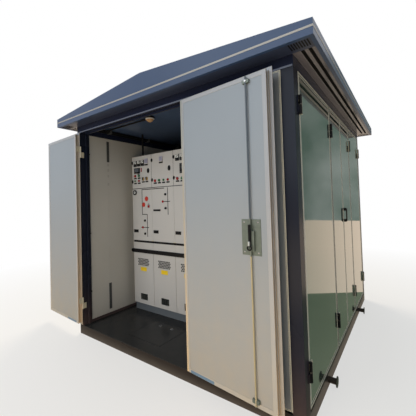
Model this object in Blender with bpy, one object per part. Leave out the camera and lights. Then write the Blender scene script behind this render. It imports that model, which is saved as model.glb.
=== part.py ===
"""Compact substation: a walk-in sheet-metal kiosk on a channel-steel base, with a low gable roof,
a pair of front doors, four side doors and a ring main unit of four panels inside.

The origin is the centre of the base's underside, +Z is up, the front faces -Y, and sizes are metres.
"""

import math

import bmesh
import bpy
from mathutils import Vector

# Driving dimensions of the kiosk
WIDTH = 2.250
LENGTH = 2.460
HEAD_ROOM = 0.202
LINTEL_HEIGHT = 0.122
SEAT_GAP = 0.0003

# Base of rolled channel, with the floor plate on it
CHANNEL_HEIGHT = 0.080
CHANNEL_FLANGE = 0.043
CHANNEL_WEB = 0.005
CHANNEL_FLANGE_THICK = 0.008
FLOOR_THICK = 0.006
HATCH_WIDTH = 0.405
HATCH_LENGTH = 0.340
HATCH_FROM_LEFT = 0.600
HATCH_FROM_FRONT = 0.125
HATCH_LEDGE = 0.014
HATCH_THICK = 0.003
HATCH_CLEARANCE = 0.003
FINGER_HOLE_RADIUS = 0.011
FINGER_HOLE_FROM_REAR = 0.060
FINGER_HOLE_SPREAD = 0.150
LUG_FROM_END = 0.510
LUG_REACH = 0.055
LUG_SHAFT_RADIUS = 0.020
LUG_DISC_RADIUS = 0.035
LUG_DISC_THICK = 0.008

# Posts, mullions and lintels: a square face with a door stop folded behind it
POST_WIDTH = 0.075
NARROW_POST_WIDTH = 0.060
STOP_SETBACK = 0.050
STOP_THICK = 0.015
STOP_LIP = 0.015
DOORWAY_WIDTH = 1.392
MIDDLE_POST_WIDTH = 0.045
MULLION_WIDTH = 0.008
MULLION_FRONT_CENTRE = 0.8675
MULLION_REAR_CENTRE = 1.7425
GROOVE_WIDTH = 0.008
GROOVE_DEPTH = 0.010

# Door leaves: a flat skin that overhangs a shallower tray
LEAF_DEPTH = 0.040
SKIN_THICK = 0.004
SKIN_LIP = 0.020
HINGE_LIP = 0.008
STILE_WIDTH = 0.026
TRIM_WIDTH = 0.012
PANEL_RECESS = 0.0015
EDGE_GROOVE_WIDTH = 0.016
EDGE_GROOVE_DEPTH = 0.006
FOOT_CLEARANCE = 0.0137
LEFT_LEAF_WIDTH = 0.670
HEAD_CLEARANCE = 0.005
FREE_CLEARANCE = 0.005
HINGE_CLEARANCE = 0.005
MEETING_CLEARANCE = 0.005

# Hinges: one knuckle on the frame under one on the leaf
FRONT_AXIS_OUT = 0.005
FRONT_KNUCKLE_RADIUS = 0.0045
FRONT_PLATE_THICK = 0.002
SIDE_AXIS_OUT = 0.0095
SIDE_KNUCKLE_RADIUS = 0.0085
SIDE_PLATE_THICK = 0.006
HINGE_HEIGHT = 0.110
HINGE_SPLIT = 0.0006
HINGE_PLATE = 0.030
HINGE_PLATE_INSET = 0.004
HINGE_FROM_FOOT = 0.210
HINGE_FROM_TOP = 0.199
LEFT_LEAF_OPEN = 182.8
RIGHT_LEAF_OPEN = 175.1

# Lock gear on the right leaf's inner face
LOCK_FROM_EDGE = 0.147
LOCK_FROM_FOOT = 0.974
LOCK_PLATE_WIDTH = 0.126
LOCK_PLATE_HEIGHT = 0.206
LOCK_PLATE_THICK = 0.003
ROD_RADIUS = 0.005
ROD_STANDOFF = 0.012
ROD_END_MARGIN = 0.008
GUIDE_WIDTH = 0.044
GUIDE_HEIGHT = 0.020
GUIDE_FROM_TOP = 0.040
LEVER_LENGTH = 0.120
LEVER_WIDTH = 0.016
LEVER_THICK = 0.010

# Pull handle beside the meeting line of the side doors
PULL_HEIGHT = 0.130
PULL_WIDTH = 0.026
PULL_REACH = 0.024
PULL_FROM_FOOT = 1.025
PULL_FROM_EDGE = 0.045

# Roof: eaves band, light trim, then the gable cover
SIDE_OVERHANG = 0.146
FRONT_OVERHANG = 0.131
REAR_OVERHANG = 0.166
EAVES_LAP = 0.064
BAND_HEIGHT = 0.038
TRIM_HEIGHT = 0.0114
COVER_EDGE_HEIGHT = 0.033
RIDGE_RISE = 0.105
SHEET_THICK = 0.003
BAND_RETURN = 0.022
TRIM_DEPTH = 0.020
TRIM_PROUD = 0.001
SOFFIT_THICK = 0.002
SOFFIT_FOLD_WIDTH = 0.020
SOFFIT_FOLD_DEPTH = 0.016
SOFFIT_FOLD_PITCH = 0.040
SOFFIT_FOLD_START = 0.044
VENT_SLOTS = 8
VENT_SLOT_WIDTH = 0.005
VENT_SLOT_LENGTH = 0.046
VENT_SLOT_PITCH = 0.014
VENT_FROM_END = 0.036
CEILING_DROP = 0.056
CEILING_THICK = 0.006

# Ceiling lamp and its conduit
LAMP_FROM_LEFT = 0.810
LAMP_FROM_FRONT = 0.255
LAMP_BASE_RADIUS = 0.042
LAMP_BASE_HEIGHT = 0.016
LAMP_GLOBE_RADIUS = 0.036
LAMP_GLOBE_DROP = 0.036
CONDUIT_RADIUS = 0.011
CONDUIT_FROM_LEFT = 0.240
CONDUIT_FROM_FRONT = 0.660

# Ring main unit of four panels
UNIT_COUNT = 4
UNIT_PITCH = 0.326
UNIT_FROM_LEFT = 0.129
UNIT_FRONT = 0.587
UNIT_DEPTH = 0.780
UNIT_JOINT = 0.004
UNIT_FASCIA = 0.020
PLINTH_HEIGHT = 0.0767
PLINTH_SETBACK = 0.012
COVER_HEIGHT = 0.575
BAND_GAP_HEIGHT = 0.031
BAND_SETBACK = 0.006
MECHANISM_HEIGHT = 0.694
MECHANISM_JOINT = 0.002
LV_BOX_HEIGHT = 0.369
SLOT_FROM_FOOT = 0.092
SLOT_HEIGHT = 0.006
SLOT_INSET = 0.012
VENT_COLUMNS = 8
VENT_ROWS = 5
VENT_PITCH = 0.022
VENT_ROW_PITCH = 0.0165
VENT_HOLE_WIDTH = 0.0115
VENT_HOLE_HEIGHT = 0.0095
VENT_FROM_TOP = 0.071
WINDOW_WIDTH = 0.114
WINDOW_HEIGHT = 0.070
WINDOW_RECESS = 0.006
WINDOW_FROM_FOOT = 0.042
LABEL_WIDTH = 0.098
LABEL_HEIGHT = 0.047
LABEL_RECESS = 0.0015
LABEL_FROM_TOP = 0.166
METER_WIDTH = 0.048
METER_HEIGHT = 0.049
METER_PITCH = 0.0615
METER_PROUD = 0.008
METER_FROM_TOP = 0.074
METER_FROM_EDGE = 0.062
SINGLE_METER_FROM_EDGE = 0.152
DISPLAY_WIDTH = 0.096
DISPLAY_HEIGHT = 0.060
DISPLAY_PROUD = 0.006
DISPLAY_FROM_EDGE = 0.090
DISPLAY_FROM_TOP = 0.163
TALL_DISPLAY_WIDTH = 0.110
TALL_DISPLAY_HEIGHT = 0.098
TALL_DISPLAY_FROM_EDGE = 0.150
TALL_DISPLAY_FROM_TOP = 0.196
LAMP_BOSS_RADIUS = 0.012
LAMP_BOSS_PROUD = 0.008
LAMP_BOSS_COUNT = 4
LAMP_PAIR_COUNT = 2
LAMP_BOSS_PITCH = 0.064
LAMP_BOSS_FROM_EDGE = 0.057
UPPER_LAMPS_FROM_TOP = 0.223
LOWER_LAMPS_FROM_TOP = 0.281
SINGLE_LAMPS_FROM_TOP = 0.297
KEY_BOSS_RADIUS = 0.014
KEY_BOSS_PROUD = 0.008
KEY_PITCH = 0.058
KEYS_FROM_EDGE = 0.192
KEYS_FROM_TOP = 0.264
KNOB_RADIUS = 0.011
KNOB_PROUD = 0.010
KNOB_CHAMFER = 0.002
KNOB_FROM_EDGE = 0.207
KNOB_SPREAD = 0.147
KNOB_FROM_FOOT = 0.182
KNOB_FROM_TOP = 0.083
DIAL_RADIUS = 0.024
DIAL_PROUD = 0.010
DIAL_FROM_EDGE = 0.048
DIAL_FROM_TOP = 0.044
ROOT = 0.002
CUT_SPARE = 0.010

# Lines that follow from the sizes above
LEFT = -WIDTH / 2
RIGHT = WIDTH / 2
FRONT = -LENGTH / 2
REAR = LENGTH / 2
FLOOR_TOP = CHANNEL_HEIGHT + SEAT_GAP + FLOOR_THICK
STAND_Z = FLOOR_TOP + SEAT_GAP
PLINTH_TOP = FLOOR_TOP + PLINTH_HEIGHT
COVER_TOP = PLINTH_TOP + COVER_HEIGHT
MECHANISM_BOTTOM = COVER_TOP + BAND_GAP_HEIGHT
MECHANISM_TOP = MECHANISM_BOTTOM + MECHANISM_HEIGHT
UNIT_TOP = MECHANISM_TOP + LV_BOX_HEIGHT
HEAD_HEIGHT = UNIT_TOP + HEAD_ROOM
WALL_TOP = HEAD_HEIGHT + LINTEL_HEIGHT
EAVES_BOTTOM = WALL_TOP - EAVES_LAP
CEILING_Z = WALL_TOP - CEILING_DROP
POST_DEPTH = STOP_SETBACK + STOP_THICK
WALL_THICK = STOP_SETBACK - SEAT_GAP
DOORWAY_LEFT = LEFT + NARROW_POST_WIDTH
DOORWAY_RIGHT = DOORWAY_LEFT + DOORWAY_WIDTH
BAY_LEFT = DOORWAY_RIGHT + MIDDLE_POST_WIDTH
BAY_RIGHT = RIGHT - POST_WIDTH
LEAF_BOTTOM = FLOOR_TOP + FOOT_CLEARANCE
LEAF_TOP = HEAD_HEIGHT - HEAD_CLEARANCE
HINGE_HALF = HINGE_CLEARANCE / 2
HINGE_LEVELS = (LEAF_BOTTOM + HINGE_FROM_FOOT, LEAF_TOP - HINGE_FROM_TOP)
FRONT_HINGE = (FRONT_AXIS_OUT, FRONT_KNUCKLE_RADIUS, FRONT_PLATE_THICK)
SIDE_HINGE = (SIDE_AXIS_OUT, SIDE_KNUCKLE_RADIUS, SIDE_PLATE_THICK)
LOCK_CENTRE_Z = LEAF_BOTTOM + LOCK_FROM_FOOT
PULL_Z = LEAF_BOTTOM + PULL_FROM_FOOT
EAVES_LEFT = LEFT - SIDE_OVERHANG
EAVES_RIGHT = RIGHT + SIDE_OVERHANG
EAVES_FRONT = FRONT - FRONT_OVERHANG
EAVES_REAR = REAR + REAR_OVERHANG
BAND_TOP = EAVES_BOTTOM + BAND_HEIGHT
TRIM_TOP = BAND_TOP + SEAT_GAP + TRIM_HEIGHT
COVER_BOTTOM = TRIM_TOP + SEAT_GAP
SOFFIT_Z = EAVES_BOTTOM + SHEET_THICK + SEAT_GAP
ROUND_SIDES = 24
SMALL_SIDES = 12


def clear_scene():
    """Removes what the file starts with."""
    for obj in list(bpy.data.objects):
        bpy.data.objects.remove(obj, do_unlink=True)


def make_material(name, colour, roughness, metallic):
    """Principled material of one plain finish."""
    made = bpy.data.materials.new(name)
    made.use_nodes = True
    shader = made.node_tree.nodes["Principled BSDF"]
    shader.inputs["Base Color"].default_value = (*colour, 1.0)
    shader.inputs["Roughness"].default_value = roughness
    shader.inputs["Metallic"].default_value = metallic
    made.diffuse_color = (*colour, 1.0)
    return made


clear_scene()
NAVY = make_material("navy_paint", (0.045, 0.060, 0.110), 0.35, 0.0)
ROOF_BLUE = make_material("roof_blue_paint", (0.085, 0.120, 0.205), 0.40, 0.0)
BASE_BLACK = make_material("base_black_paint", (0.018, 0.017, 0.017), 0.35, 0.0)
TRIM_GREY = make_material("light_trim", (0.62, 0.60, 0.57), 0.40, 0.3)
ALUMINIUM = make_material("aluminium_edging", (0.72, 0.73, 0.75), 0.30, 0.9)
PANEL_GREY = make_material("inner_panel_grey", (0.46, 0.47, 0.50), 0.45, 0.0)
MIRROR_GREEN = make_material("polished_green_panel", (0.10, 0.19, 0.14), 0.12, 0.6)
CEILING_NAVY = make_material("ceiling_navy", (0.030, 0.038, 0.060), 0.25, 0.0)
SOFFIT_GREY = make_material("soffit_grey", (0.20, 0.19, 0.19), 0.45, 0.2)
LAMP_BLACK = make_material("black_plastic", (0.012, 0.012, 0.013), 0.40, 0.0)
LAMP_AMBER = make_material("amber_globe", (0.80, 0.38, 0.10), 0.20, 0.0)
GEAR_WHITE = make_material("switchgear_white", (0.70, 0.67, 0.62), 0.45, 0.0)
PLINTH_BLUE = make_material("plinth_blue_grey", (0.23, 0.27, 0.33), 0.45, 0.0)
ZINC = make_material("zinc_plate", (0.40, 0.45, 0.41), 0.35, 0.8)


def draw(points):
    """Rectangle outline between two opposite corners, as four points."""
    (a0, b0), (a1, b1) = points
    return [(a0, b0), (a1, b0), (a1, b1), (a0, b1)]


def pushed(outline, start, end, axis):
    """Solid made by drawing an outline across an axis and extruding it from start to end."""
    spot = {
        "X": lambda a, b: (start, a, b),
        "Y": lambda a, b: (a, start, b),
        "Z": lambda a, b: (a, b, start),
    }[axis]
    run = {"X": Vector((1, 0, 0)), "Y": Vector((0, 1, 0)), "Z": Vector((0, 0, 1))}[axis]
    bm = bmesh.new()
    face = bm.faces.new([bm.verts.new(spot(a, b)) for a, b in outline])
    grown = bmesh.ops.extrude_face_region(bm, geom=[face])
    moved = [item for item in grown["geom"] if isinstance(item, bmesh.types.BMVert)]
    bmesh.ops.translate(bm, verts=moved, vec=run * (end - start))
    bmesh.ops.recalc_face_normals(bm, faces=bm.faces)
    return bm


def block(low, high):
    """Rectangular solid between two opposite corners."""
    return pushed(draw([(low[0], low[1]), (high[0], high[1])]), low[2], high[2], "Z")


def lofted(loops, ring):
    """Skin through loops of points: closed on itself for a ring, capped at both ends otherwise."""
    bm = bmesh.new()
    rows = [[bm.verts.new(point) for point in loop] for loop in loops]
    pairs = list(zip(rows, rows[1:]))
    if ring:
        pairs.append((rows[-1], rows[0]))
    else:
        bm.faces.new(rows[0])
        bm.faces.new(rows[-1])
    for near, far in pairs:
        for i, _ in enumerate(near):
            j = (i + 1) % len(near)
            bm.faces.new((near[i], near[j], far[j], far[i]))
    bmesh.ops.recalc_face_normals(bm, faces=bm.faces)
    return bm


def turned(profile, sides, centre, axis):
    """Solid of revolution: profile points are (radius, distance along the axis)."""
    spot = {
        "X": lambda r, d, c, s: (d, r * c, r * s),
        "Y": lambda r, d, c, s: (r * c, d, r * s),
        "Z": lambda r, d, c, s: (r * c, r * s, d),
    }[axis]
    angles = [2 * math.pi * i / sides for i in range(sides)]
    loops = [[spot(r, d, math.cos(a), math.sin(a)) for a in angles] for r, d in profile]
    bm = lofted(loops, ring=False)
    bmesh.ops.translate(bm, verts=bm.verts, vec=Vector(centre))
    return bm


def joined(pieces):
    """One mesh from several that don't touch, such as a row of cutters."""
    whole = bmesh.new()
    for piece in pieces:
        mesh = bpy.data.meshes.new("joined_piece")
        piece.to_mesh(mesh)
        piece.free()
        whole.from_mesh(mesh)
        bpy.data.meshes.remove(mesh)
    return whole


def put(name, bm, finish, location=(0, 0, 0), parent=None, smooth=False):
    """Makes the named object from a mesh and places it."""
    mesh = bpy.data.meshes.new(name)
    bm.to_mesh(mesh)
    bm.free()
    mesh.materials.append(finish)
    if smooth:
        mesh.shade_smooth()
        mesh.set_sharp_from_angle(angle=math.radians(35))
    obj = bpy.data.objects.new(name, mesh)
    obj.location = location
    obj.parent = parent
    bpy.context.collection.objects.link(obj)
    return obj


def helper(name, bm, near):
    """A hidden cutter or an addition for a Boolean, in the same place as its object."""
    obj = put(name, bm, near.data.materials[0], near.location, near.parent)
    obj.rotation_euler = near.rotation_euler
    obj.hide_render = True
    obj.display_type = "WIRE"
    return obj


def cut(obj, bm, label):
    """Takes a shape away from an object."""
    modifier = obj.modifiers.new(label, "BOOLEAN")
    modifier.operation = "DIFFERENCE"
    modifier.solver = "EXACT"
    modifier.object = helper(f"{obj.name}_{label}", bm, obj)


def fuse(obj, bm, label):
    """Welds a shape onto an object."""
    modifier = obj.modifiers.new(label, "BOOLEAN")
    modifier.operation = "UNION"
    modifier.solver = "EXACT"
    modifier.object = helper(f"{obj.name}_{label}", bm, obj)


def soften(obj, width=0.0015):
    """Breaks the sharp outer edges, as paint and rolling do."""
    bevel = obj.modifiers.new("edges", "BEVEL")
    bevel.width = width
    bevel.segments = 1
    bevel.limit_method = "ANGLE"
    bevel.angle_limit = math.radians(60)


def empty_at(name, location, turn):
    """Empty on a vertical hinge axis, turned about it by an angle in degrees."""
    pivot = bpy.data.objects.new(name, None)
    pivot.location = location
    pivot.rotation_euler = (0, 0, math.radians(turn))
    bpy.context.collection.objects.link(pivot)
    return pivot


def channel_outline():
    """C section: the web on the outer face, both flanges pointing inwards."""
    return [
        (0, 0),
        (CHANNEL_FLANGE, 0),
        (CHANNEL_FLANGE, CHANNEL_FLANGE_THICK),
        (CHANNEL_WEB, CHANNEL_FLANGE_THICK),
        (CHANNEL_WEB, CHANNEL_HEIGHT - CHANNEL_FLANGE_THICK),
        (CHANNEL_FLANGE, CHANNEL_HEIGHT - CHANNEL_FLANGE_THICK),
        (CHANNEL_FLANGE, CHANNEL_HEIGHT),
        (0, CHANNEL_HEIGHT),
    ]


def base_beam(name, span, location, turn):
    """Channel along local X with its ends mitred at 45 degrees."""
    half = span / 2
    bm = pushed(channel_outline(), -half, half, "X")
    for vert in bm.verts:
        vert.co.x -= math.copysign(vert.co.y + SEAT_GAP, vert.co.x)
    beam = put(name, bm, BASE_BLACK, location)
    beam.rotation_euler = (0, 0, math.radians(turn))
    return beam


def lifting_lugs(beam):
    """Two turned bollards on a side beam: a shaft through the web with a disc that keeps the sling on."""
    root = CHANNEL_WEB - 0.001
    profile = [
        (LUG_SHAFT_RADIUS, root),
        (LUG_SHAFT_RADIUS, LUG_DISC_THICK - LUG_REACH),
        (LUG_DISC_RADIUS, LUG_DISC_THICK - LUG_REACH - 0.003),
        (LUG_DISC_RADIUS, -LUG_REACH),
    ]
    along = REAR - LUG_FROM_END
    height = CHANNEL_HEIGHT / 2
    lugs = [turned(profile, ROUND_SIDES, (side * along, 0, height), "Y") for side in (-1, 1)]
    fuse(beam, joined(lugs), "lugs")


def cross_member(name, y):
    """Channel between the flange edges of the two side beams, which carries the floor."""
    end = RIGHT - CHANNEL_FLANGE - SEAT_GAP
    middle = y - CHANNEL_FLANGE / 2
    put(name, pushed(channel_outline(), -end, end, "X"), BASE_BLACK, (0, middle, 0))


def make_base():
    """Mitred frame of four channels, with three cross members and four lifting bollards."""
    base_beam("base_front", WIDTH, (0, FRONT, 0), 0)
    base_beam("base_rear", WIDTH, (0, REAR, 0), 180)
    lifting_lugs(base_beam("base_right", LENGTH, (RIGHT, 0, 0), 90))
    lifting_lugs(base_beam("base_left", LENGTH, (LEFT, 0, 0), -90))
    for name, y in (("front", -LENGTH / 4), ("middle", 0), ("rear", LENGTH / 4)):
        cross_member(f"base_cross_{name}", y)


def make_floor():
    """Floor plate with a rebated opening, and the lift-out hatch that lies in it."""
    low = CHANNEL_HEIGHT + SEAT_GAP
    plate = put("floor_plate", block((LEFT, FRONT, low), (RIGHT, REAR, FLOOR_TOP)), BASE_BLACK)
    x0 = LEFT + HATCH_FROM_LEFT
    y0 = FRONT + HATCH_FROM_FRONT
    x1 = x0 + HATCH_WIDTH
    y1 = y0 + HATCH_LENGTH
    ledge = HATCH_LEDGE
    hole = block((x0 + ledge, y0 + ledge, low - CUT_SPARE), (x1 - ledge, y1 - ledge, FLOOR_TOP + CUT_SPARE))
    cut(plate, hole, "hole")
    play = HATCH_CLEARANCE
    bed = FLOOR_TOP - HATCH_THICK - SEAT_GAP
    rebate = block((x0 - play, y0 - play, bed), (x1 + play, y1 + play, FLOOR_TOP + CUT_SPARE))
    cut(plate, rebate, "rebate")
    hatch = put("floor_hatch", block((x0, y0, bed + SEAT_GAP), (x1, y1, FLOOR_TOP)), BASE_BLACK)
    across = (x0 + x1) / 2
    holes = []
    for side in (-1, 1):
        spread = side * FINGER_HOLE_SPREAD / 2
        centre = (across + spread, y1 - FINGER_HOLE_FROM_REAR, bed - CUT_SPARE)
        depth = HATCH_THICK + CUT_SPARE * 3
        profile = [(FINGER_HOLE_RADIUS, 0), (FINGER_HOLE_RADIUS, depth)]
        holes.append(turned(profile, SMALL_SIDES, centre, "Z"))
    cut(hatch, joined(holes), "finger_holes")


def corner_post(name, location, turn, width=POST_WIDTH):
    """Corner post: a face on both walls, the first of the given width, and a door stop behind each."""
    face = POST_WIDTH
    lip = POST_WIDTH + STOP_LIP
    outline = [
        (0, 0),
        (width, 0),
        (width, STOP_SETBACK),
        (width + STOP_LIP, STOP_SETBACK),
        (width + STOP_LIP, POST_DEPTH),
        (POST_DEPTH, POST_DEPTH),
        (POST_DEPTH, lip),
        (STOP_SETBACK, lip),
        (STOP_SETBACK, face),
        (0, face),
    ]
    bm = pushed(outline, STAND_Z, HEAD_HEIGHT - SEAT_GAP, "Z")
    post = put(name, bm, NAVY, location)
    post.rotation_euler = (0, 0, math.radians(turn))
    return post


def stopped_outline(width):
    """Section of a mullion or middle post, with a stop lip on each side behind the leaves."""
    half = width / 2
    lip = half + STOP_LIP
    return [
        (-half, 0),
        (half, 0),
        (half, STOP_SETBACK),
        (lip, STOP_SETBACK),
        (lip, POST_DEPTH),
        (-lip, POST_DEPTH),
        (-lip, STOP_SETBACK),
        (-half, STOP_SETBACK),
    ]


def mullion(name, width, location, turn):
    """Upright between two leaves."""
    bm = pushed(stopped_outline(width), STAND_Z, HEAD_HEIGHT - SEAT_GAP, "Z")
    post = put(name, bm, NAVY, location)
    post.rotation_euler = (0, 0, math.radians(turn))
    return post


def hinge_half(hand, plate, on_leaf, hinge):
    """Knuckle and plate of one side of both hinges, about an axis at the origin."""
    out, radius, thick = hinge
    pieces = []
    for level in HINGE_LEVELS:
        half = HINGE_HEIGHT / 2
        low = level + HINGE_SPLIT / 2 if on_leaf else level - half
        high = level + half if on_leaf else level - HINGE_SPLIT / 2
        barrel = turned([(radius, low), (radius, high)], SMALL_SIDES, (0, 0, 0), "Z")
        reach = hand * plate if on_leaf else -hand * plate
        sides = sorted((0, reach))
        start = (sides[0], out - thick, low + HINGE_PLATE_INSET)
        wing = block(start, (sides[1], out + ROOT, high - HINGE_PLATE_INSET))
        pieces.append((barrel, wing))
    return pieces


def fuse_hinges(obj, hand, plate, on_leaf, hinge, offset=(0, 0)):
    """Welds hinge halves to a leaf or to the upright that carries it."""
    barrels = []
    wings = []
    for barrel, wing in hinge_half(hand, plate, on_leaf, hinge):
        for piece in (barrel, wing):
            bmesh.ops.translate(piece, verts=piece.verts, vec=Vector((*offset, 0)))
        barrels.append(barrel)
        wings.append(wing)
    fuse(obj, joined(wings), "hinge_plates")
    fuse(obj, joined(barrels), "hinge_knuckles")


def make_uprights():
    """Corner posts, the middle post of the front and the two mullions of the right side."""
    left_front = corner_post("post_front_left", (LEFT, FRONT, 0), 0, NARROW_POST_WIDTH)
    right_front = corner_post("post_front_right", (RIGHT, FRONT, 0), 90)
    right_rear = corner_post("post_rear_right", (RIGHT, REAR, 0), 180)
    corner_post("post_rear_left", (LEFT, REAR, 0), -90)
    middle_x = DOORWAY_RIGHT + MIDDLE_POST_WIDTH / 2
    middle = mullion("middle_post", MIDDLE_POST_WIDTH, (middle_x, FRONT, 0), 0)
    near_y = FRONT + MULLION_FRONT_CENTRE
    far_y = FRONT + MULLION_REAR_CENTRE
    near = mullion("side_mullion_front", MULLION_WIDTH, (RIGHT, near_y, 0), 90)
    far = mullion("side_mullion_rear", MULLION_WIDTH, (RIGHT, far_y, 0), 90)
    front = -FRONT_AXIS_OUT
    side = -SIDE_AXIS_OUT
    near_jamb = (NARROW_POST_WIDTH + HINGE_HALF, front)
    far_jamb = (-MIDDLE_POST_WIDTH / 2 - HINGE_HALF, front)
    fuse_hinges(left_front, 1, HINGE_PLATE, False, FRONT_HINGE, near_jamb)
    fuse_hinges(middle, -1, HINGE_PLATE, False, FRONT_HINGE, far_jamb)
    narrow = MULLION_WIDTH
    half = MULLION_WIDTH / 2 + HINGE_HALF
    corner = POST_WIDTH + HINGE_HALF
    fuse_hinges(right_front, 1, HINGE_PLATE, False, SIDE_HINGE, (corner, side))
    fuse_hinges(near, 1, narrow, False, SIDE_HINGE, (half, side))
    fuse_hinges(far, -1, narrow, False, SIDE_HINGE, (-half, side))
    fuse_rear_post_hinges(right_rear)


def fuse_rear_post_hinges(post):
    """The last side door hangs on the face of the rear post that looks sideways."""
    barrels = []
    wings = []
    for barrel, wing in hinge_half(-1, HINGE_PLATE, False, SIDE_HINGE):
        for piece in (barrel, wing):
            for vert in piece.verts:
                along, out, height = vert.co
                vert.co = (out - SIDE_AXIS_OUT, POST_WIDTH + HINGE_HALF - along, height)
            bmesh.ops.recalc_face_normals(piece, faces=piece.faces)
        barrels.append(barrel)
        wings.append(wing)
    fuse(post, joined(wings), "hinge_plates")
    fuse(post, joined(barrels), "hinge_knuckles")


def lintel(name, span, location, turn, stops):
    """Deep head rail along local X. Each pair in stops is the start and end of a door stop below it."""
    outline = draw([(0, HEAD_HEIGHT), (POST_DEPTH, WALL_TOP)])
    rail = put(name, pushed(outline, -span / 2, span / 2, "X"), NAVY, location)
    rail.rotation_euler = (0, 0, math.radians(turn))
    low = HEAD_HEIGHT - STOP_LIP
    lips = []
    for start, end in stops:
        lips.append(block((start, STOP_SETBACK, low), (end, POST_DEPTH, HEAD_HEIGHT + 0.002)))
    if lips:
        fuse(rail, joined(lips), "stops")


def make_lintels():
    """Head rails over the front, the rear and both sides."""
    lip = STOP_LIP + SEAT_GAP
    inset = POST_WIDTH + lip
    front_stops = [(DOORWAY_LEFT + lip, DOORWAY_RIGHT - lip), (BAY_LEFT + lip, BAY_RIGHT - lip)]
    lintel("front_lintel", WIDTH, (0, FRONT, 0), 0, front_stops)
    lintel("rear_lintel", WIDTH, (0, REAR, 0), 180, [(LEFT + inset, RIGHT - inset)])
    side = LENGTH - 2 * (POST_DEPTH + SEAT_GAP)
    near = FRONT + MULLION_FRONT_CENTRE
    far = FRONT + MULLION_REAR_CENTRE
    edge = MULLION_WIDTH / 2 + lip
    right_stops = [(FRONT + inset, near - edge), (near + edge, far - edge), (far + edge, REAR - inset)]
    lintel("right_lintel", side, (RIGHT, 0, 0), 90, right_stops)
    lintel("left_lintel", side, (LEFT, 0, 0), -90, [(FRONT + inset, REAR - inset)])


def wall(name, span, location, turn, joints):
    """Fixed wall of sandwich panels along local X, with a groove in its outer face at each joint."""
    start = POST_WIDTH + SEAT_GAP
    outline = draw([(start - span / 2, 0), (span / 2 - start, WALL_THICK)])
    slab = put(name, pushed(outline, STAND_Z, HEAD_HEIGHT - SEAT_GAP, "Z"), MIRROR_GREEN, location)
    slab.rotation_euler = (0, 0, math.radians(turn))
    half = GROOVE_WIDTH / 2
    grooves = []
    for x in joints:
        grooves.append(block((x - half, -CUT_SPARE, 0), (x + half, GROOVE_DEPTH, HEAD_HEIGHT + CUT_SPARE)))
    cut(slab, joined(grooves), "joints")


def make_walls():
    """The left and rear walls, in bays of the same widths as the right side and the front."""
    near = FRONT + MULLION_FRONT_CENTRE
    far = FRONT + MULLION_REAR_CENTRE
    left_joints = [-near, -(near + far) / 2, -far]
    wall("wall_left", LENGTH, (LEFT, 0, 0), -90, left_joints)
    middle = DOORWAY_RIGHT + MIDDLE_POST_WIDTH / 2
    rear_joints = [-(DOORWAY_LEFT + DOORWAY_WIDTH / 2), -middle]
    wall("wall_rear", WIDTH, (0, REAR, 0), 180, rear_joints)


def leaf_loops(width, hand, out, profile):
    """Loops round a leaf for each (inset, depth) of a profile. The hinge edge has its own small lip."""
    loops = []
    for inset, depth in profile:
        at_hinge = inset if inset < SKIN_LIP else inset - SKIN_LIP + HINGE_LIP
        near = hand * (HINGE_HALF + at_hinge)
        far = hand * (HINGE_HALF + width - inset)
        y = out + depth
        low = LEAF_BOTTOM + inset
        high = LEAF_TOP - inset
        loops.append([(near, y, low), (far, y, low), (far, y, high), (near, y, high)])
    return loops


def tray_edge():
    """Profile of a leaf's edge: the skin's lip, then the tray's side with a groove along its middle."""
    start = (SKIN_THICK + LEAF_DEPTH - EDGE_GROOVE_WIDTH) / 2
    end = start + EDGE_GROOVE_WIDTH
    deep = SKIN_LIP + EDGE_GROOVE_DEPTH
    return [
        (0, 0),
        (0, SKIN_THICK),
        (SKIN_LIP, SKIN_THICK),
        (SKIN_LIP, start),
        (deep, start),
        (deep, end),
        (SKIN_LIP, end),
        (SKIN_LIP, LEAF_DEPTH),
        (SKIN_LIP + STILE_WIDTH, LEAF_DEPTH),
    ]


def leaf_frame_mesh(width, hand):
    """Aluminium frame of a leaf: the skin's rim, the tray's edge and the inner stile, mitred."""
    profile = [*tray_edge(), (SKIN_LIP + STILE_WIDTH, 0)]
    return lofted(leaf_loops(width, hand, FRONT_AXIS_OUT, profile), ring=True)


def leaf_panel_mesh(width, hand):
    """Flat sandwich panel inside a leaf's frame, a little below both faces."""
    inset = SKIN_LIP + STILE_WIDTH + SEAT_GAP
    profile = [(inset, PANEL_RECESS), (inset, LEAF_DEPTH - PANEL_RECESS)]
    return lofted(leaf_loops(width, hand, FRONT_AXIS_OUT, profile), ring=False)


def whole_leaf_mesh(width, hand, out):
    """A leaf in one piece: trim round the skin, then the tray, with both faces a little recessed."""
    rim = [(TRIM_WIDTH, PANEL_RECESS), (TRIM_WIDTH, 0)]
    profile = [*rim, *tray_edge(), (SKIN_LIP + STILE_WIDTH, LEAF_DEPTH - PANEL_RECESS)]
    return lofted(leaf_loops(width, hand, out, profile), ring=False)


def front_leaf(side, hand, axis_x, width, turn):
    """Framed leaf of the front doorway, turned about its hinge axis to the open pose."""
    pivot = empty_at(f"{side}_leaf_axis", (axis_x, FRONT - FRONT_AXIS_OUT, 0), turn)
    frame = put(f"{side}_leaf_frame", leaf_frame_mesh(width, hand), ALUMINIUM, parent=pivot)
    fuse_hinges(frame, hand, HINGE_PLATE, True, FRONT_HINGE)
    put(f"{side}_leaf_panel", leaf_panel_mesh(width, hand), PANEL_GREY, parent=pivot)
    return pivot


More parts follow.
